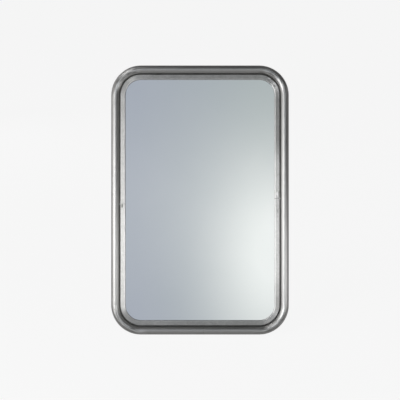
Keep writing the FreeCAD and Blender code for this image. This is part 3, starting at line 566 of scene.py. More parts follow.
tube = begin_ring("frame_tube", tube_radius, tube_bore, (joint_high.x, -path_y, 0), 64)
extrude(x=path_x - corner_bend - joint_high.x)
runs = ((1, -1, 0, 2 * (path_y - corner_bend)), (1, 1, -2 * (path_x - corner_bend), 0),
        (-1, 1, 0, -2 * (path_y - corner_bend)), (-1, -1, joint_low.x + path_x - corner_bend, 0))
for right, top, run_x, run_y in runs:
    hub = (right * (path_x - corner_bend), top * (path_y - corner_bend), 0)
    bpy.ops.mesh.spin(steps=32, angle=math.pi / 2, center=hub, axis=(0, 0, -1))
    extrude(x=run_x, y=run_y)
close_up()
lay_grain(tube, tube_map, (2 * math.pi * tube_radius, loop_length))
stand(tube)


def crevice_shade(tree, map_uv):
    """Painted shade in the crevice beside the rim: the tube's inner side darkened where the rim shades
    it.
    """
    across = node(tree, "SeparateXYZ", Vector=map_uv).outputs["X"]
    return ramp(tree, calc(tree, "ABSOLUTE", across), 4.5 * MM, 1 * MM, 0.5)


def strokes_in(tree, map_uv, mask, across, along, shift):
    """Bright and dull strokes along the metal, where a mask lets them show."""
    found = []
    for offset in (shift, shift + 7.3):
        laid = node(tree, "Mapping", Vector=map_uv, Location=(offset, offset, 0),
                    Scale=(across, along, 1)).outputs[0]
        noise = node(tree, "TexNoise", Vector=laid, Scale=1, Detail=2, Roughness=0.6,
                     Distortion=0.3).outputs["Fac"]
        found.append(calc(tree, "MULTIPLY", slope(tree, noise, 0.48, 0.66), mask))
    return found


def rubbed_bends(tree, map_uv, here):
    """The bends are polished less evenly by hand than the straight runs."""
    parts = node(tree, "SeparateXYZ", Vector=here).outputs
    ease_in = 15 * MM
    mask = 0.8
    for axis, start in (("X", path_x - corner_bend), ("Y", path_y - corner_bend)):
        out = calc(tree, "ABSOLUTE", parts[axis])
        into = ramp(tree, out, start - ease_in, start + ease_in)
        mask = calc(tree, "MULTIPLY", into, mask)
    return strokes_in(tree, map_uv, mask, 420, 38, 2.0)


tube_finish = brushed_metal("burnished_tube", (0.40, 0.395, 0.385), (0.62, 0.615, 0.605), 0.335,
                            across=1700, along=9, clouds=30, cloudy=0.14, lines=0.16,
                            heated=True, painted_shade=crevice_shade, wear_and_painted_light=rubbed_bends)
dress(tube, "tube_steel", "mirror", tube_finish, "tube_frame")


# ---- Rim ----
# Two halves of 1.5 mm sheet pressed to a Z: a lip over the pane, a wall down the well and a
# flange behind the tube. They meet at mid height, where their seams are not quite level.

rim_x, rim_y, rim_corner = 116.5 * MM, 183.5 * MM, 30 * MM
sheet = 1.5 * MM
lip_front, flange_back = 1 * MM, -7.5 * MM
lip_inset = 7.4 * MM
flange_out = 9.5 * MM
wall_middle = rim_x - sheet / 2
seam_left, seam_right, seam_gap = -5.9 * MM, 2.2 * MM, 0.8 * MM
lip_fold, outer_fold, flange_fold = 1.4 * MM, 0.6 * MM, 1.2 * MM
rim_loop = 4 * (rim_x + rim_y - 2 * rim_corner) + 2 * math.pi * rim_corner


def rim_map(point):
    """Across the rim, from under the lip over it and down the wall, and along it."""
    along, outside = round_loop(point.x, point.y, rim_x, rim_y, rim_corner)
    depth = point.z - lip_front
    lip_middle = -4 * MM
    return outside + (depth if outside < lip_middle else -depth), along


def press_rim_half(name, right_y, left_y):
    """Sets out the sheet's middle line at the right seam and draws it round to the left seam."""
    top = 1 if name.endswith("upper") else -1
    lip_wide = wall_middle - (rim_x - lip_inset)
    work_on(None)
    bpy.ops.mesh.primitive_plane_add(size=lip_wide, location=(
        wall_middle - lip_wide / 2, right_y + lip_wide / 2, lip_front - sheet / 2))
    half = begin(name)
    pick(half, "VERT", lambda point: point.y > right_y + MM)
    bpy.ops.mesh.delete(type="VERT")
    wall_foot = flange_back + sheet / 2
    pick(half, "VERT", lambda point: point.x > wall_middle - MM)
    extrude(z=wall_foot - (lip_front - sheet / 2))
    extrude(x=rim_x + flange_out - wall_middle)
    bpy.ops.mesh.select_all(action="SELECT")
    extrude(y=top * (rim_y - rim_corner) - right_y)
    hub_x, hub_y = rim_x - rim_corner, top * (rim_y - rim_corner)
    bpy.ops.mesh.spin(steps=28, angle=math.pi / 2, center=(hub_x, hub_y, 0), axis=(0, 0, -top))
    extrude(x=-2 * hub_x)
    bpy.ops.mesh.spin(steps=28, angle=math.pi / 2, center=(-hub_x, hub_y, 0), axis=(0, 0, -top))
    extrude(y=left_y - top * (rim_y - rim_corner))
    close_up()
    apply_modifier(half, "SOLIDIFY", thickness=sheet, offset=0, use_even_offset=True)
    work_on(half, "EDIT")

    touch = 0.05 * MM
    for inset, level, radius in ((lip_inset, lip_front, lip_fold), (0, lip_front, outer_fold),
                                 (sheet, flange_back, flange_fold)):

        def on_fold(point):
            outside = round_loop(point.x, point.y, rim_x, rim_y, rim_corner)[1]
            return abs(outside + inset) < touch and abs(point.z - level) < touch

        pick(half, "EDGE", on_fold)
        bpy.ops.mesh.bevel(offset=radius, segments=6, affect="EDGES")
    bpy.ops.object.mode_set(mode="OBJECT")
    soften(half, 0.2 * MM, angle=50)
    lay_grain(half, rim_map, (0, rim_loop))
    stand(half)
    return half


def rim_crevice_and_lip_shade(tree, map_uv):
    """Painted shade down the wall into the crevice beside the tube, and a thin painted dark line where
    the lip meets the glass.
    """
    across = node(tree, "SeparateXYZ", Vector=map_uv).outputs["X"]
    wall = ramp(tree, across, 0.6 * MM, 3.5 * MM, 0.5)
    under_lip = ramp(tree, across, -7.6 * MM, -8.4 * MM, 0.85)
    return calc(tree, "MAXIMUM", wall, under_lip)


def stretch_of(tree, value, start, full, last, end, strength=1.0):
    """Rises from start to full and falls from last to end, all four in millimetres."""
    rising = ramp(tree, value, start * MM, full * MM, strength)
    return calc(tree, "MULTIPLY", ramp(tree, value, end * MM, last * MM), rising)


def rim_filing_and_painted_light(tree, map_uv, here):
    """Mottled from hand filing at the upper right corner, with a painted highlight along the lip's
    fold, and painted shade near both ends of the right side.
    """
    parts = node(tree, "SeparateXYZ", Vector=here).outputs
    filed = 0.8
    for axis, centre in (("X", 113 * MM), ("Y", 168 * MM)):
        far = calc(tree, "ABSOLUTE", calc(tree, "SUBTRACT", parts[axis], centre))
        filed = calc(tree, "MULTIPLY", ramp(tree, far, 22 * MM, 8 * MM), filed)
    bright, dull = strokes_in(tree, map_uv, filed, 400, 130, 11.0)
    # painted shade: the right side darkened towards its top and bottom ends
    right_side = ramp(tree, parts["X"], 96 * MM, 106 * MM)
    for stretch in ((48, 90, 157, 166, 0.55), (-95, -152, -159, -168, 0.42)):
        grey = calc(tree, "MULTIPLY", stretch_of(tree, parts["Y"], *stretch), right_side)
        dull = calc(tree, "MAXIMUM", dull, grey)
    across = node(tree, "SeparateXYZ", Vector=map_uv).outputs["X"]
    # painted highlight: the lip's fold lightened towards near white all round the rim
    fold = stretch_of(tree, across, -5.6, -6.3, -7.3, -8.0, 0.65)
    return calc(tree, "MAXIMUM", bright, fold), dull


rim_finish = brushed_metal("brushed_rim", (0.44, 0.435, 0.425), (0.74, 0.735, 0.72), 0.40,
                           across=1500, along=24, clouds=70, cloudy=0.45, lines=0.2,
                           anisotropy=0.94, heated=True, painted_shade=rim_crevice_and_lip_shade, wear_and_painted_light=rim_filing_and_painted_light)
for word, way in (("upper", 1), ("lower", -1)):
    gap = way * seam_gap / 2
    half = press_rim_half("rim_half_" + word, seam_right + gap, seam_left + gap)
    dress(half, "rim_steel", "mirror", rim_finish, "rim_" + word)


# ---- Welds on the rim ----
# The two seams are welded through and dressed flush. A bright blob was left above the right one
# and a duller dab below each. Twelve short beads join the flange to the tube from behind.


def weld_metal(name, dark, light, rough):
    """Weld steel: cloudy and faintly rippled, with specks."""
    material, tree = recipe(name)
    here = flat_place(tree)
    cloud = use(tree, cloud_group, Place=here, Size=420.0, Sharpness=0.7)["Clouds"]
    specks = use(tree, cloud_group, Place=here, Size=1500.0, Sharpness=0.6)["Clouds"]
    shade = calc(tree, "MULTIPLY_ADD", specks, 0.35, calc(tree, "MULTIPLY", cloud, 0.65))
    gloss = calc(tree, "MULTIPLY_ADD", calc(tree, "SUBTRACT", specks, 0.5), 0.15, rough)
    bump = node(tree, "Bump", Strength=0.35, Distance=0.0001, Height=cloud)
    finish_with(tree, node(tree, "BsdfPrincipled", Base_Color=mix_colours(tree, shade, dark, light),
                           Metallic=1.0, Roughness=gloss, Normal=bump.outputs[0]))
    return material


seam_finish = weld_metal("dressed_weld", (0.30, 0.295, 0.29), (0.50, 0.49, 0.48), 0.42)
for name in ("seam_weld_left", "seam_weld_right"):
    nodes[name].data.materials.clear()
    nodes[name].data.materials.append(seam_finish)


def weld_dab(name, place, half_wide, half_tall, height, finish, wander):
    """A small low mound of weld on the lip: a flattened ball, cut off level and pulled about."""
    work_on(None)
    bpy.ops.mesh.primitive_uv_sphere_add(segments=20, ring_count=12, radius=1, location=place,
                                         scale=(half_wide, half_tall, height))
    dab = begin(name)
    bpy.ops.mesh.bisect(plane_co=(place[0], place[1], place[2] - 0.25 * height),
                        plane_no=(0, 0, 1), clear_inner=True, use_fill=True, threshold=1e-7)
    shaky = random.Random(wander)
    for turn in range(6):
        angle = turn * math.pi / 3
        side = Vector((math.cos(angle) * half_wide, math.sin(angle) * half_tall, 0))
        spot = Vector(place) + side * 0.7
        pick(dab, "VERT", lambda point: (point - spot).length < 0.55 * half_wide)
        pull = side * shaky.uniform(-0.18, 0.12)
        bpy.ops.transform.translate(value=(pull.x, pull.y, shaky.uniform(-0.12, 0.18) * height))
    close_up()
    apply_modifier(dab, "SUBSURF", levels=1, render_levels=1)
    stand(dab)
    dress(dab, "weld_steel", "mirror", finish)


lip_top = lip_front - 0.05 * MM
bright_weld = weld_metal("bright_weld", (0.86, 0.855, 0.845), (0.96, 0.955, 0.95), 0.42)
marked_weld = weld_metal("marked_weld", (0.36, 0.355, 0.35), (0.58, 0.575, 0.565), 0.42)
dull_weld = weld_metal("dull_weld", (0.28, 0.275, 0.27), (0.44, 0.435, 0.425), 0.5)
weld_dab("seam_blob_right", (114.0 * MM, 8.9 * MM, lip_top), 2.3 * MM, 4.2 * MM, 1.05 * MM,
         bright_weld, 3)
weld_dab("seam_dab_right", (113.6 * MM, -16.0 * MM, lip_top), 1.3 * MM, 2.4 * MM, 0.22 * MM,
         marked_weld, 5)
weld_dab("seam_dab_left", (-114.1 * MM, -8.6 * MM, lip_top), 1.7 * MM, 2.9 * MM, 0.30 * MM,
         dull_weld, 8)

tack_level = -6.75 * MM
tack_long, tack_round = 11 * MM, 1.5 * MM
ripples = 9
first_swell, ripple_swell, ripple_waist, ripple_groove, last_taper = 2.35, 1.18, 1 / 1.06, 0.9, 0.35

work_on(None)
bpy.ops.mesh.primitive_circle_add(vertices=14, radius=0.35 * tack_round, fill_type="NGON",
                                  location=(0, -tack_long / 2, 0), rotation=(math.pi / 2, 0, 0))
bead = begin("tack_bead")
step = tack_long / ripples
for number in range(ripples):
    swell = first_swell if number == 0 else ripple_swell
    groove = last_taper if number == ripples - 1 else ripple_groove
    for part, factor in ((0.45, swell), (0.45, ripple_waist), (0.10, groove)):
        extrude(y=part * step)
        bpy.ops.transform.resize(value=(factor, 1, factor))
close_up()
largest = max(abs(corner.co.x) for corner in bead.data.vertices)
bead.data.transform(Matrix.Diagonal((tack_round / largest, 1, tack_round / largest, 1)))
bead.data.transform(Matrix.Translation((0, 0, tack_level)))


def copies_of(piece, places, name):
    """Sets copies of a modelled piece at places (x, y, turn), joined into one piece."""
    made = []
    for x, y, turn in places:
        copy = piece.copy()
        copy.data = piece.data.copy()
        copy.data.transform(Matrix.Translation((x, y, 0)) @ Matrix.Rotation(turn, 4, "Z"))
        bpy.context.scene.collection.objects.link(copy)
        made.append(copy)
    work_on(made[0])
    for copy in made:
        copy.select_set(True)
    if len(made) > 1:
        bpy.ops.object.join()
    made[0].name = name
    return made[0]


tacks = []
far_row, near_row = tack_rows
column = tack_columns[0]
for side in (-1, 1):
    for row in (-far_row, -near_row, near_row, far_row):
        tacks.append((side * tack_x, row, 0))
    for x in (-column, column):
        tacks.append((x, side * tack_y, math.pi / 2))

# every third bead was laid from its other end
tacks = [(x, y, turn + (math.pi if number % 3 == 1 else 0))
         for number, (x, y, turn) in enumerate(tacks)]
beads = copies_of(bead, tacks, "rim_tack_beads")
bpy.data.objects.remove(bead)
stand(beads)
bead_finish = weld_metal("tack_weld", (0.22, 0.20, 0.18), (0.50, 0.47, 0.43), 0.38)
dress(beads, "weld_steel", "mirror", bead_finish, "rim_tack_welds")


# ---- Joint in the tube ----
# A short inner tube bridges the butt joint, which is welded through and dressed flush, so only
# a faint, slightly duller ring is left of it.


def keep_node(name, material):
    """Gives a CAD piece that is right as it stands its finish."""
    piece = nodes[name]
    piece.data.materials.clear()
    piece.data.materials.append(material)
    return piece


keep_node("tube_weld", weld_metal("butt_weld", (0.36, 0.355, 0.345), (0.55, 0.545, 0.53), 0.33))
spigot_finish, tree = recipe("drawn_inner_tube")
here = flat_place(tree)
stretched = node(tree, "Mapping", Vector=here, Scale=(12, 900, 900)).outputs[0]
lines = use(tree, cloud_group, Place=stretched, Size=1.0, Sharpness=0.6)["Clouds"]
cloud = use(tree, cloud_group, Place=here, Size=140.0, Sharpness=0.6)["Clouds"]
oil = calc(tree, "MULTIPLY_ADD", lines, 0.5, calc(tree, "MULTIPLY", cloud, 0.5))
finish_with(tree, node(tree, "BsdfPrincipled", Metallic=1.0,
                       Base_Color=mix_colours(tree, oil, (0.16, 0.15, 0.14), (0.36, 0.35, 0.33)),
                       Roughness=calc(tree, "MULTIPLY_ADD", lines, 0.2, 0.35)))
keep_node("tube_spigot", spigot_finish)


# ---- Mirror pane ----
# 3 mm float glass, silvered behind, its silvering sealed with grey paint. The front shows the
# silver, the cut edge shows green glass, and the back shows the paint.

pane_front, pane_back = -1 * MM, -4 * MM
pane_finish, tree = recipe("silvered_glass")
here = flat_place(tree)
depth = node(tree, "SeparateXYZ", Vector=here).outputs["Z"]
front = slope(tree, depth, pane_front - 0.2 * MM, pane_front - 0.1 * MM)
painted = slope(tree, depth, pane_back + 0.2 * MM, pane_back + 0.1 * MM)
haze = use(tree, cloud_group, Place=here, Size=14.0, Sharpness=0.5)["Clouds"]
dust = node(tree, "TexNoise", Vector=here, Scale=1400, Detail=2, Roughness=0.5).outputs["Fac"]
specks = slope(tree, dust, 0.74, 0.80)
silver = mix_colours(tree, haze, (0.775, 0.795, 0.79), (0.795, 0.810, 0.805))
silver = mix_colours(tree, calc(tree, "MULTIPLY", specks, 0.25), silver, (0.6, 0.6, 0.58))
paint = use(tree, cloud_group, Place=here, Size=90.0, Sharpness=0.6)["Clouds"]
grey = mix_colours(tree, paint, (0.20, 0.21, 0.22), (0.27, 0.28, 0.29))
colour = mix_colours(tree, front, (0.10, 0.24, 0.19), silver)
colour = mix_colours(tree, painted, colour, grey)
gloss = calc(tree, "MULTIPLY_ADD", haze, 0.010, 0.012)
gloss = calc(tree, "MULTIPLY_ADD", specks, 0.25, gloss)
gloss = calc(tree, "MULTIPLY_ADD", painted, 0.5, gloss)
finish_with(tree, node(tree, "BsdfPrincipled", Base_Color=colour, Metallic=front, Roughness=gloss))
keep_node("mirror_pane", pane_finish)


# ---- Tape, blocks and card behind the lip ----
# Closed-cell foam tape under the lip, six rubber blocks that centre the pane, and a grey card
# that keeps the silvering off the back panel.

tape_finish, tree = recipe("foam_tape")
cells = node(tree, "TexVoronoi", Vector=flat_place(tree), Scale=1800).outputs["Distance"]
dark_cell = mix_colours(tree, cells, (0.010, 0.010, 0.011), (0.035, 0.035, 0.036))
bump = node(tree, "Bump", Strength=0.5, Distance=0.0001, Height=cells)
finish_with(tree, node(tree, "BsdfPrincipled", Base_Color=dark_cell, Normal=bump.outputs[0],
                       Roughness=calc(tree, "MULTIPLY_ADD", cells, 0.2, 0.75)))
keep_node("glazing_tape", tape_finish)


def black_rubber(name, place):
    """Moulded black rubber with a fine bloom and a few rubbed, greyer places."""
    material, tree = recipe(name)
    here = flat_place(tree, place)
    bloom = use(tree, cloud_group, Place=here, Size=180.0, Sharpness=0.6)["Clouds"]
    skin = use(tree, cloud_group, Place=here, Size=2400.0, Sharpness=0.5)["Clouds"]
    colour = mix_colours(tree, bloom, (0.016, 0.016, 0.017), (0.045, 0.044, 0.043))
    bump = node(tree, "Bump", Strength=0.25, Distance=0.00008, Height=skin)
    finish_with(tree, node(tree, "BsdfPrincipled", Base_Color=colour, Normal=bump.outputs[0],
                           Roughness=calc(tree, "MULTIPLY_ADD", bloom, 0.2, 0.5)))
    return material


keep_node("setting_blocks", black_rubber("block_rubber", LEAN))
card_finish, tree = recipe("grey_card")
here = flat_place(tree)
pulp = node(tree, "Mapping", Vector=here, Scale=(500, 160, 500)).outputs[0]
fibres = use(tree, cloud_group, Place=pulp, Size=1.0, Sharpness=0.7)["Clouds"]
blotch = use(tree, cloud_group, Place=here, Size=45.0, Sharpness=0.5)["Clouds"]
mixed = calc(tree, "MULTIPLY_ADD", fibres, 0.7, calc(tree, "MULTIPLY", blotch, 0.3))
finish_with(tree, node(tree, "BsdfPrincipled", Roughness=calc(tree, "MULTIPLY_ADD", fibres, 0.1, 0.8),
                       Base_Color=mix_colours(tree, mixed, (0.22, 0.215, 0.20), (0.34, 0.335, 0.32))))
keep_node("backing_card", card_finish)


# ---- Back panel ----
# 2.5 mm tempered fibre board: a smooth, faintly mottled brown face with short fibres showing in
# it, rubbed paler along the cut edge.

panel_x, panel_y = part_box("back_panel")[1].x, 181.5 * MM
rubbed_margin = 2.5 * MM
panel_finish, tree = recipe("fibre_board")
here = flat_place(tree)
fibres = 0.0
for turn in (0.3, 1.35, 2.4):
    laid = node(tree, "Mapping", Vector=here, Rotation=(0, 0, turn), Scale=(2600, 210, 600))
    strand = node(tree, "TexNoise", Vector=laid.outputs[0], Scale=1, Detail=2, Distortion=0.6)
    fibres = calc(tree, "MAXIMUM", fibres, slope(tree, strand.outputs["Fac"], 0.56, 0.78))
cloud = use(tree, cloud_group, Place=here, Size=28.0, Sharpness=0.55)["Clouds"]
flecks = use(tree, cloud_group, Place=here, Size=700.0, Sharpness=0.7)["Clouds"]
brown = mix_colours(tree, cloud, (0.200, 0.118, 0.064), (0.275, 0.168, 0.095))
brown = mix_colours(tree, calc(tree, "MULTIPLY", flecks, 0.35), brown, (0.130, 0.075, 0.042))
brown = mix_colours(tree, calc(tree, "MULTIPLY", fibres, 0.55), brown, (0.40, 0.27, 0.160))
spot = node(tree, "SeparateXYZ", Vector=here).outputs
side = calc(tree, "SUBTRACT", panel_x, calc(tree, "ABSOLUTE", spot["X"]))
end = calc(tree, "SUBTRACT", panel_y, calc(tree, "ABSOLUTE", spot["Y"]))
worn = slope(tree, calc(tree, "MINIMUM", side, end), rubbed_margin, 0, 0.6)
worn = calc(tree, "MULTIPLY", worn, calc(tree, "MULTIPLY_ADD", flecks, 0.8, 0.2))
brown = mix_colours(tree, worn, brown, (0.44, 0.30, 0.185))
gloss = calc(tree, "MULTIPLY_ADD", cloud, 0.12, calc(tree, "MULTIPLY_ADD", fibres, 0.2, 0.38))
bump = node(tree, "Bump", Strength=0.25, Distance=0.00012, Height=calc(tree, "ADD", fibres, flecks))
finish_with(tree, node(tree, "BsdfPrincipled", Base_Color=brown, Roughness=gloss,
                       Normal=bump.outputs[0]))


def ease_edges(piece, width):
    """Rounds a kept CAD piece's edges with modifiers, which leave its own mesh as it is."""
    piece.modifiers.new("merge", "WELD").merge_threshold = 1e-6
    flat = piece.modifiers.new("flatten", "DECIMATE")
    flat.decimate_type = "DISSOLVE"
    flat.angle_limit = math.radians(1)
    edges = piece.modifiers.new("edges", "BEVEL")
    edges.width = width
    edges.segments = 2
    edges.limit_method = "ANGLE"
    edges.angle_limit = math.radians(50)
    work_on(piece)
    bpy.ops.object.shade_smooth_by_angle(angle=math.radians(35))
    smooth = piece.modifiers.new("shading", "WEIGHTED_NORMAL")
    smooth.keep_sharp = True


ease_edges(keep_node("back_panel", panel_finish), 0.3 * MM)


# ---- Turn buttons and rivets ----
# Six pressed bars of zinc-plated steel, each swinging on an aluminium rivet through the rim's
# flange. Turned aside, they let the panel out.


def zinc(name):
    """Bright zinc plate: cloudy, faintly blue and straw, with fine tumbling scratches."""
    material, tree = recipe(name)
    here = flat_place(tree)
    cloud = use(tree, cloud_group, Place=here, Size=130.0, Sharpness=0.55)["Clouds"]
    tint = use(tree, cloud_group, Place=here, Size=60.0, Sharpness=0.4)["Clouds"]
    scratches = 0.0
    for turn in (0.5, 1.9):
        laid = node(tree, "Mapping", Vector=here, Rotation=(0, 0, turn), Scale=(4200, 160, 4200))
        mark = node(tree, "TexNoise", Vector=laid.outputs[0], Scale=1, Detail=1)
        scratches = calc(tree, "MAXIMUM", scratches, slope(tree, mark.outputs["Fac"], 0.6, 0.75))
    plate = mix_colours(tree, tint, (0.56, 0.585, 0.62), (0.66, 0.64, 0.575))
    plate = mix_colours(tree, calc(tree, "MULTIPLY", cloud, 0.45), plate, (0.40, 0.41, 0.42))
    gloss = calc(tree, "MULTIPLY_ADD", cloud, 0.16, calc(tree, "MULTIPLY_ADD", scratches, 0.12, 0.27))
    bump = node(tree, "Bump", Strength=0.15, Distance=0.00005, Height=scratches)
    finish_with(tree, node(tree, "BsdfPrincipled", Base_Color=plate, Metallic=1.0,
                           Roughness=gloss, Normal=bump.outputs[0]))
    return material


zinc_finish = zinc("zinc_plate")
button_wide, button_reach, button_gauge = 8.5 * MM, 16 * MM, 1.2 * MM
button_level, flange_front = -8.8 * MM, -6 * MM
rivet_hole, rivet_play = 1.55 * MM, 0.05 * MM
touch = 0.01 * MM

work_on(None)
bpy.ops.mesh.primitive_circle_add(vertices=32, radius=button_wide / 2, location=(0, 0, button_level))
button = begin("turn_button")
pick(button, "VERT", lambda point: point.x > touch)
bpy.ops.transform.translate(value=(button_reach - button_wide / 2, 0, 0))
bpy.ops.mesh.select_all(action="DESELECT")
bpy.ops.mesh.primitive_circle_add(vertices=32, radius=rivet_hole, location=(0, 0, button_level))
bpy.ops.mesh.select_all(action="SELECT")
bpy.ops.mesh.bridge_edge_loops()
extrude(z=button_gauge)
close_up()
soften(button, 0.3 * MM, 3)

rivet_head, rivet_rise, rivet_edge, rivet_shank = 6 * MM, 1.2 * MM, 0.12 * MM, 3 * MM
dome = (rivet_head ** 2 / 4 + rivet_rise ** 2) / (2 * rivet_rise)


def set_rivet(head_level, shank_level):
    """Models one rivet on the Z axis: a low dome with a small rolled edge, and its shank."""
    work_on(None)
    bpy.ops.mesh.primitive_uv_sphere_add(segments=28, ring_count=40, radius=dome,
                                         location=(0, 0, head_level + dome - rivet_rise))
    rivet = begin("rivet")
    bpy.ops.mesh.bisect(plane_co=(0, 0, head_level - rivet_edge), plane_no=(0, 0, 1),
                        clear_outer=True, use_fill=True)
    pick(rivet, "FACE", lambda centre, normal: normal.z > 0.9)
    extrude(z=rivet_edge)
    bpy.ops.mesh.inset(thickness=rivet_head / 2 - rivet_shank / 2)
    extrude(z=shank_level - head_level)
    close_up()
    soften(rivet, 0.08 * MM, 2, 50)
    return rivet


def bare_metal(name, dark, light, rough):
    """Headed wire, as rivets and pins are made of, with small dents and dull patches."""
    material, tree = recipe(name)
    here = flat_place(tree)
    dents = use(tree, cloud_group, Place=here, Size=520.0, Sharpness=0.6)["Clouds"]
    dull = use(tree, cloud_group, Place=here, Size=150.0, Sharpness=0.5)["Clouds"]
    shade = calc(tree, "MULTIPLY_ADD", dents, 0.5, calc(tree, "MULTIPLY", dull, 0.5))
    bump = node(tree, "Bump", Strength=0.2, Distance=0.00008, Height=dents)
    finish_with(tree, node(tree, "BsdfPrincipled", Base_Color=mix_colours(tree, shade, dark, light),
                           Metallic=1.0, Normal=bump.outputs[0],
                           Roughness=calc(tree, "MULTIPLY_ADD", dull, 0.2, rough)))
    return material


rivet_x, rivet_y, button_row = 121 * MM, 188 * MM, 105 * MM
button_places = {"upper_right": (rivet_x, button_row, math.pi),
                 "lower_right": (rivet_x, -button_row, math.pi),
                 "upper_left": (-rivet_x, button_row, 0), "lower_left": (-rivet_x, -button_row, 0),
                 "top": (0, rivet_y, -math.pi / 2), "bottom": (0, -rivet_y, math.pi / 2)}
for word, place in button_places.items():
    bar = copies_of(button, [place], "button_" + word)
    stand(bar)
    dress(bar, "zinc_steel", "turn_button_" + word, zinc_finish, "turn_button_" + word)
bpy.data.objects.remove(button)

soft_rivet = bare_metal("aluminium_rivet", (0.46, 0.46, 0.465), (0.74, 0.74, 0.745), 0.28)
rivet = set_rivet(button_level - rivet_play, flange_front)
button_rivets = copies_of(rivet, list(button_places.values()), "button_rivets")
bpy.data.objects.remove(rivet)
stand(button_rivets)
dress(button_rivets, "rivet_aluminium", "mirror", soft_rivet, "turn_button_rivets")


# ---- Leg brackets and pins ----
# Two plates of 1.5 mm steel, each with a pair of ears turned out to carry the leg's pivot pin,
# zinc plated and held to the panel by four rivets each.

bracket_x, pivot_up, pivot_level = 55 * MM, 40 * MM, -14 * MM
bracket_level, panel_middle = -9 * MM, -5 * MM
rivet_aside, rivet_above = 10 * MM, 8 * MM
for word in ("left", "right"):
    ease_edges(keep_node("leg_bracket_" + word, zinc_finish), 0.25 * MM)

rivet = set_rivet(bracket_level, panel_middle)
spots = [(side * bracket_x + left * rivet_aside, pivot_up + low * rivet_above, 0)
         for side in (-1, 1) for left in (-1, 1) for low in (-1, 1)]
panel_rivets = copies_of(rivet, spots, "panel_rivets")
stand(panel_rivets)
dress(panel_rivets, "rivet_aluminium", "mirror", soft_rivet, "bracket_rivets")

pin_finish = bare_metal("steel_pin", (0.30, 0.30, 0.305), (0.56, 0.56, 0.565), 0.25)
pin_grip, pin_radius, pin_head, pin_dimple = 7.7 * MM, 1.5 * MM, 2.5 * MM, 0.09 * MM
head_side, head_round = 0.55 * MM, 0.35 * MM
for word, side in (("left", -1), ("right", 1)):
    work_on(None)
    bpy.ops.mesh.primitive_circle_add(vertices=32, radius=pin_radius, fill_type="NGON",
                                      location=(side * bracket_x - pin_grip / 2, pivot_up, pivot_level),
                                      rotation=(0, math.pi / 2, 0))
    pin = begin("pivot_pin_" + word)
    extrude(x=pin_grip)
    for way in (1, -1):
        end = side * bracket_x + way * pin_grip / 2
        pick(pin, "FACE", lambda centre, normal: abs(centre.x - end) < touch)
        extrude(x=way * 0.1 * touch)
        bpy.ops.transform.resize(value=(1, pin_head / pin_radius, pin_head / pin_radius))
        extrude(x=way * head_side)
        extrude(x=way * head_round)
        bpy.ops.transform.resize(value=(1, 0.8, 0.8))
        bpy.ops.mesh.inset(thickness=0.9 * MM)
        bpy.ops.transform.translate(value=(way * pin_dimple, 0, 0))
    close_up()
    soften(pin, 0.12 * MM, 2, 30)
    stand(pin)
    dress(pin, "rivet_steel", "mirror", pin_finish, "leg_pivot_pin_" + word)


# ---- Leg ----
# 6 mm drawn rod bent to a square U. Each end is pressed flat into an eye for the pin, with a
# square heel above it that stops the leg against the bracket when it is open.

foot_low, foot_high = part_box("foot_sleeve_left")
foot_radius = 4.5 * MM
pivot = Vector(joints["leg_hinge"]["pos_m"])
foot_centre = (foot_low + foot_high) / 2
downwards = Vector((0, foot_centre.y - pivot.y, foot_centre.z - pivot.z))
leg_long = downwards.length
leg_up = -downwards.normalized()
LEG = Matrix((Vector((1, 0, 0)), leg_up, Vector((1, 0, 0)).cross(leg_up))).transposed().to_4x4()
LEG.translation = Vector((0, pivot.y, pivot.z))
leg_corner, rod_radius = 20 * MM, 3 * MM
neck_level, heel_up = -13.5 * MM, 4.05 * MM


def rod_map(point):
    """Along the rod and round it, from the left eye to the right one."""
    straight = leg_long - leg_corner
    run = bracket_x - leg_corner
    quarter = leg_corner * math.pi / 2
    over_x, over_y = abs(point.x) - run, -point.y - straight
    if over_x > 0 and over_y > 0:
        along = run + math.atan2(over_x, over_y) * leg_corner
        outside = math.hypot(over_x, over_y) - leg_corner
    elif over_x > over_y:
        along, outside = run + quarter + straight + point.y, abs(point.x) - bracket_x
    else:
        along, outside = abs(point.x), -point.y - leg_long
    return math.atan2(point.z, -outside) * rod_radius, math.copysign(along, point.x)


work_on(None)
bpy.ops.mesh.primitive_circle_add(vertices=40, radius=rod_radius, fill_type="NGON",
                                  location=(-bracket_x, neck_level, 0),
                                  rotation=(math.pi / 2, 0, 0))
leg = begin("leg_rod")
extrude(y=leg_corner - leg_long - neck_level)
bpy.ops.mesh.spin(steps=18, angle=math.pi / 2, axis=(0, 0, -1),
                  center=(leg_corner - bracket_x, leg_corner - leg_long, 0))
extrude(x=2 * (bracket_x - leg_corner))
bpy.ops.mesh.spin(steps=18, angle=math.pi / 2, axis=(0, 0, -1),
                  center=(bracket_x - leg_corner, leg_corner - leg_long, 0))
extrude(y=leg_long - leg_corner + neck_level)

# rings up each flattened end: how far to the next one, its growth in thickness and in breadth,
# and half the thickness that its round sides are then pressed down to
rings = ((1.2, 0.97, 1.02, 2.75), (1.4, 0.94, 1.04, 2.4), (1.5, 0.94, 1.05, 2.12),
         (1.5, 1.0, 1.04, 2.0), (None, 1.0, 1.0, 2.0))
flats = []
for side in (-1, 1):
    pick(leg, "FACE", lambda centre, normal: abs(centre.y - neck_level) < touch
         and centre.x * side > 0 and normal.y > 0.9)
    level = neck_level
    for rise, thin, broad, half_thick in rings:
        rise = rise * MM if rise else heel_up - level
        extrude(y=rise)
        bpy.ops.transform.resize(value=(thin, 1, broad))
        level += rise
        flats.append((side * bracket_x, level, half_thick * MM))
for middle_x, level, half_thick in flats:
    for face in (-1, 1):
        pick(leg, "VERT", lambda point: abs(point.y - level) < touch
             and half_thick < (point.x - middle_x) * face < 2 * rod_radius)
        bpy.ops.transform.resize(value=(0, 1, 1),
                                 center_override=(middle_x + face * half_thick, 0, 0))
close_up()
lay_grain(leg, rod_map, (2 * math.pi * rod_radius, 0))
stand(leg, LEG)
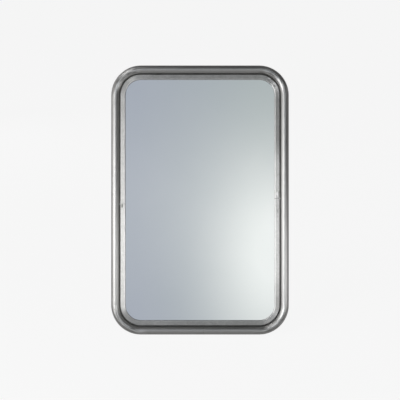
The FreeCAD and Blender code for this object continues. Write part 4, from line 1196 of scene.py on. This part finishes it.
rod_finish = brushed_metal("drawn_rod", (0.34, 0.34, 0.345), (0.60, 0.60, 0.605), 0.26, across=3600,
                           along=14, clouds=110, cloudy=0.4, lines=0.45, anisotropy=0.7)
dress(leg, "rod_steel", "leg", rod_finish, "leg")


# ---- Foot sleeves ----
# Moulded rubber sleeves pushed over the foot of the leg, one near each end, so that it grips the
# counter. Each has a shallow groove near both ends.

sleeve_finish = black_rubber("sleeve_rubber", LEG)
foot_side, foot_long = 30 * MM, 24 * MM
groove_in, groove_half, groove_pinch = 3.2 * MM, 0.6 * MM, 0.91
grooves = (groove_in, foot_long - groove_in)
for word, side in (("left", -1), ("right", 1)):
    start = side * foot_side - foot_long / 2
    sleeve = begin_ring("sleeve_" + word, foot_radius, rod_radius, (start, -leg_long, 0), 48)
    extrude(x=foot_long)
    close_up()
    for groove in grooves:
        for cut in (groove - groove_half, groove, groove + groove_half):
            work_on(sleeve, "EDIT")
            bpy.ops.mesh.select_all(action="SELECT")
            bpy.ops.mesh.bisect(plane_co=(start + cut, 0, 0), plane_no=(1, 0, 0))
    for groove in grooves:
        pick(sleeve, "VERT", lambda point: abs(point.x - start - groove) < touch
             and math.hypot(point.y + leg_long, point.z) > rod_radius + MM)
        bpy.ops.transform.resize(value=(1, groove_pinch, groove_pinch))
    bpy.ops.object.mode_set(mode="OBJECT")
    soften(sleeve, 0.7 * MM, 4, 60)
    stand(sleeve, LEG)
    dress(sleeve, "black_rubber", "leg", sleeve_finish, "foot_sleeve_" + word)


# ---- Hanging plate ----
# A pressed keyhole plate of zinc-plated steel, raised in the middle so that a screw's head can
# sit behind it, and riveted to the panel at both sides.

hanger_up, ear_aside = 148 * MM, 12.5 * MM
ease_edges(keep_node("hanger_plate", zinc_finish), 0.25 * MM)
ears = [(side * ear_aside, hanger_up, 0) for side in (-1, 1)]
hanger_rivets = copies_of(rivet, ears, "hanging_rivets")
bpy.data.objects.remove(rivet)
stand(hanger_rivets)
dress(hanger_rivets, "rivet_aluminium", "mirror", soft_rivet, "hanger_rivets")
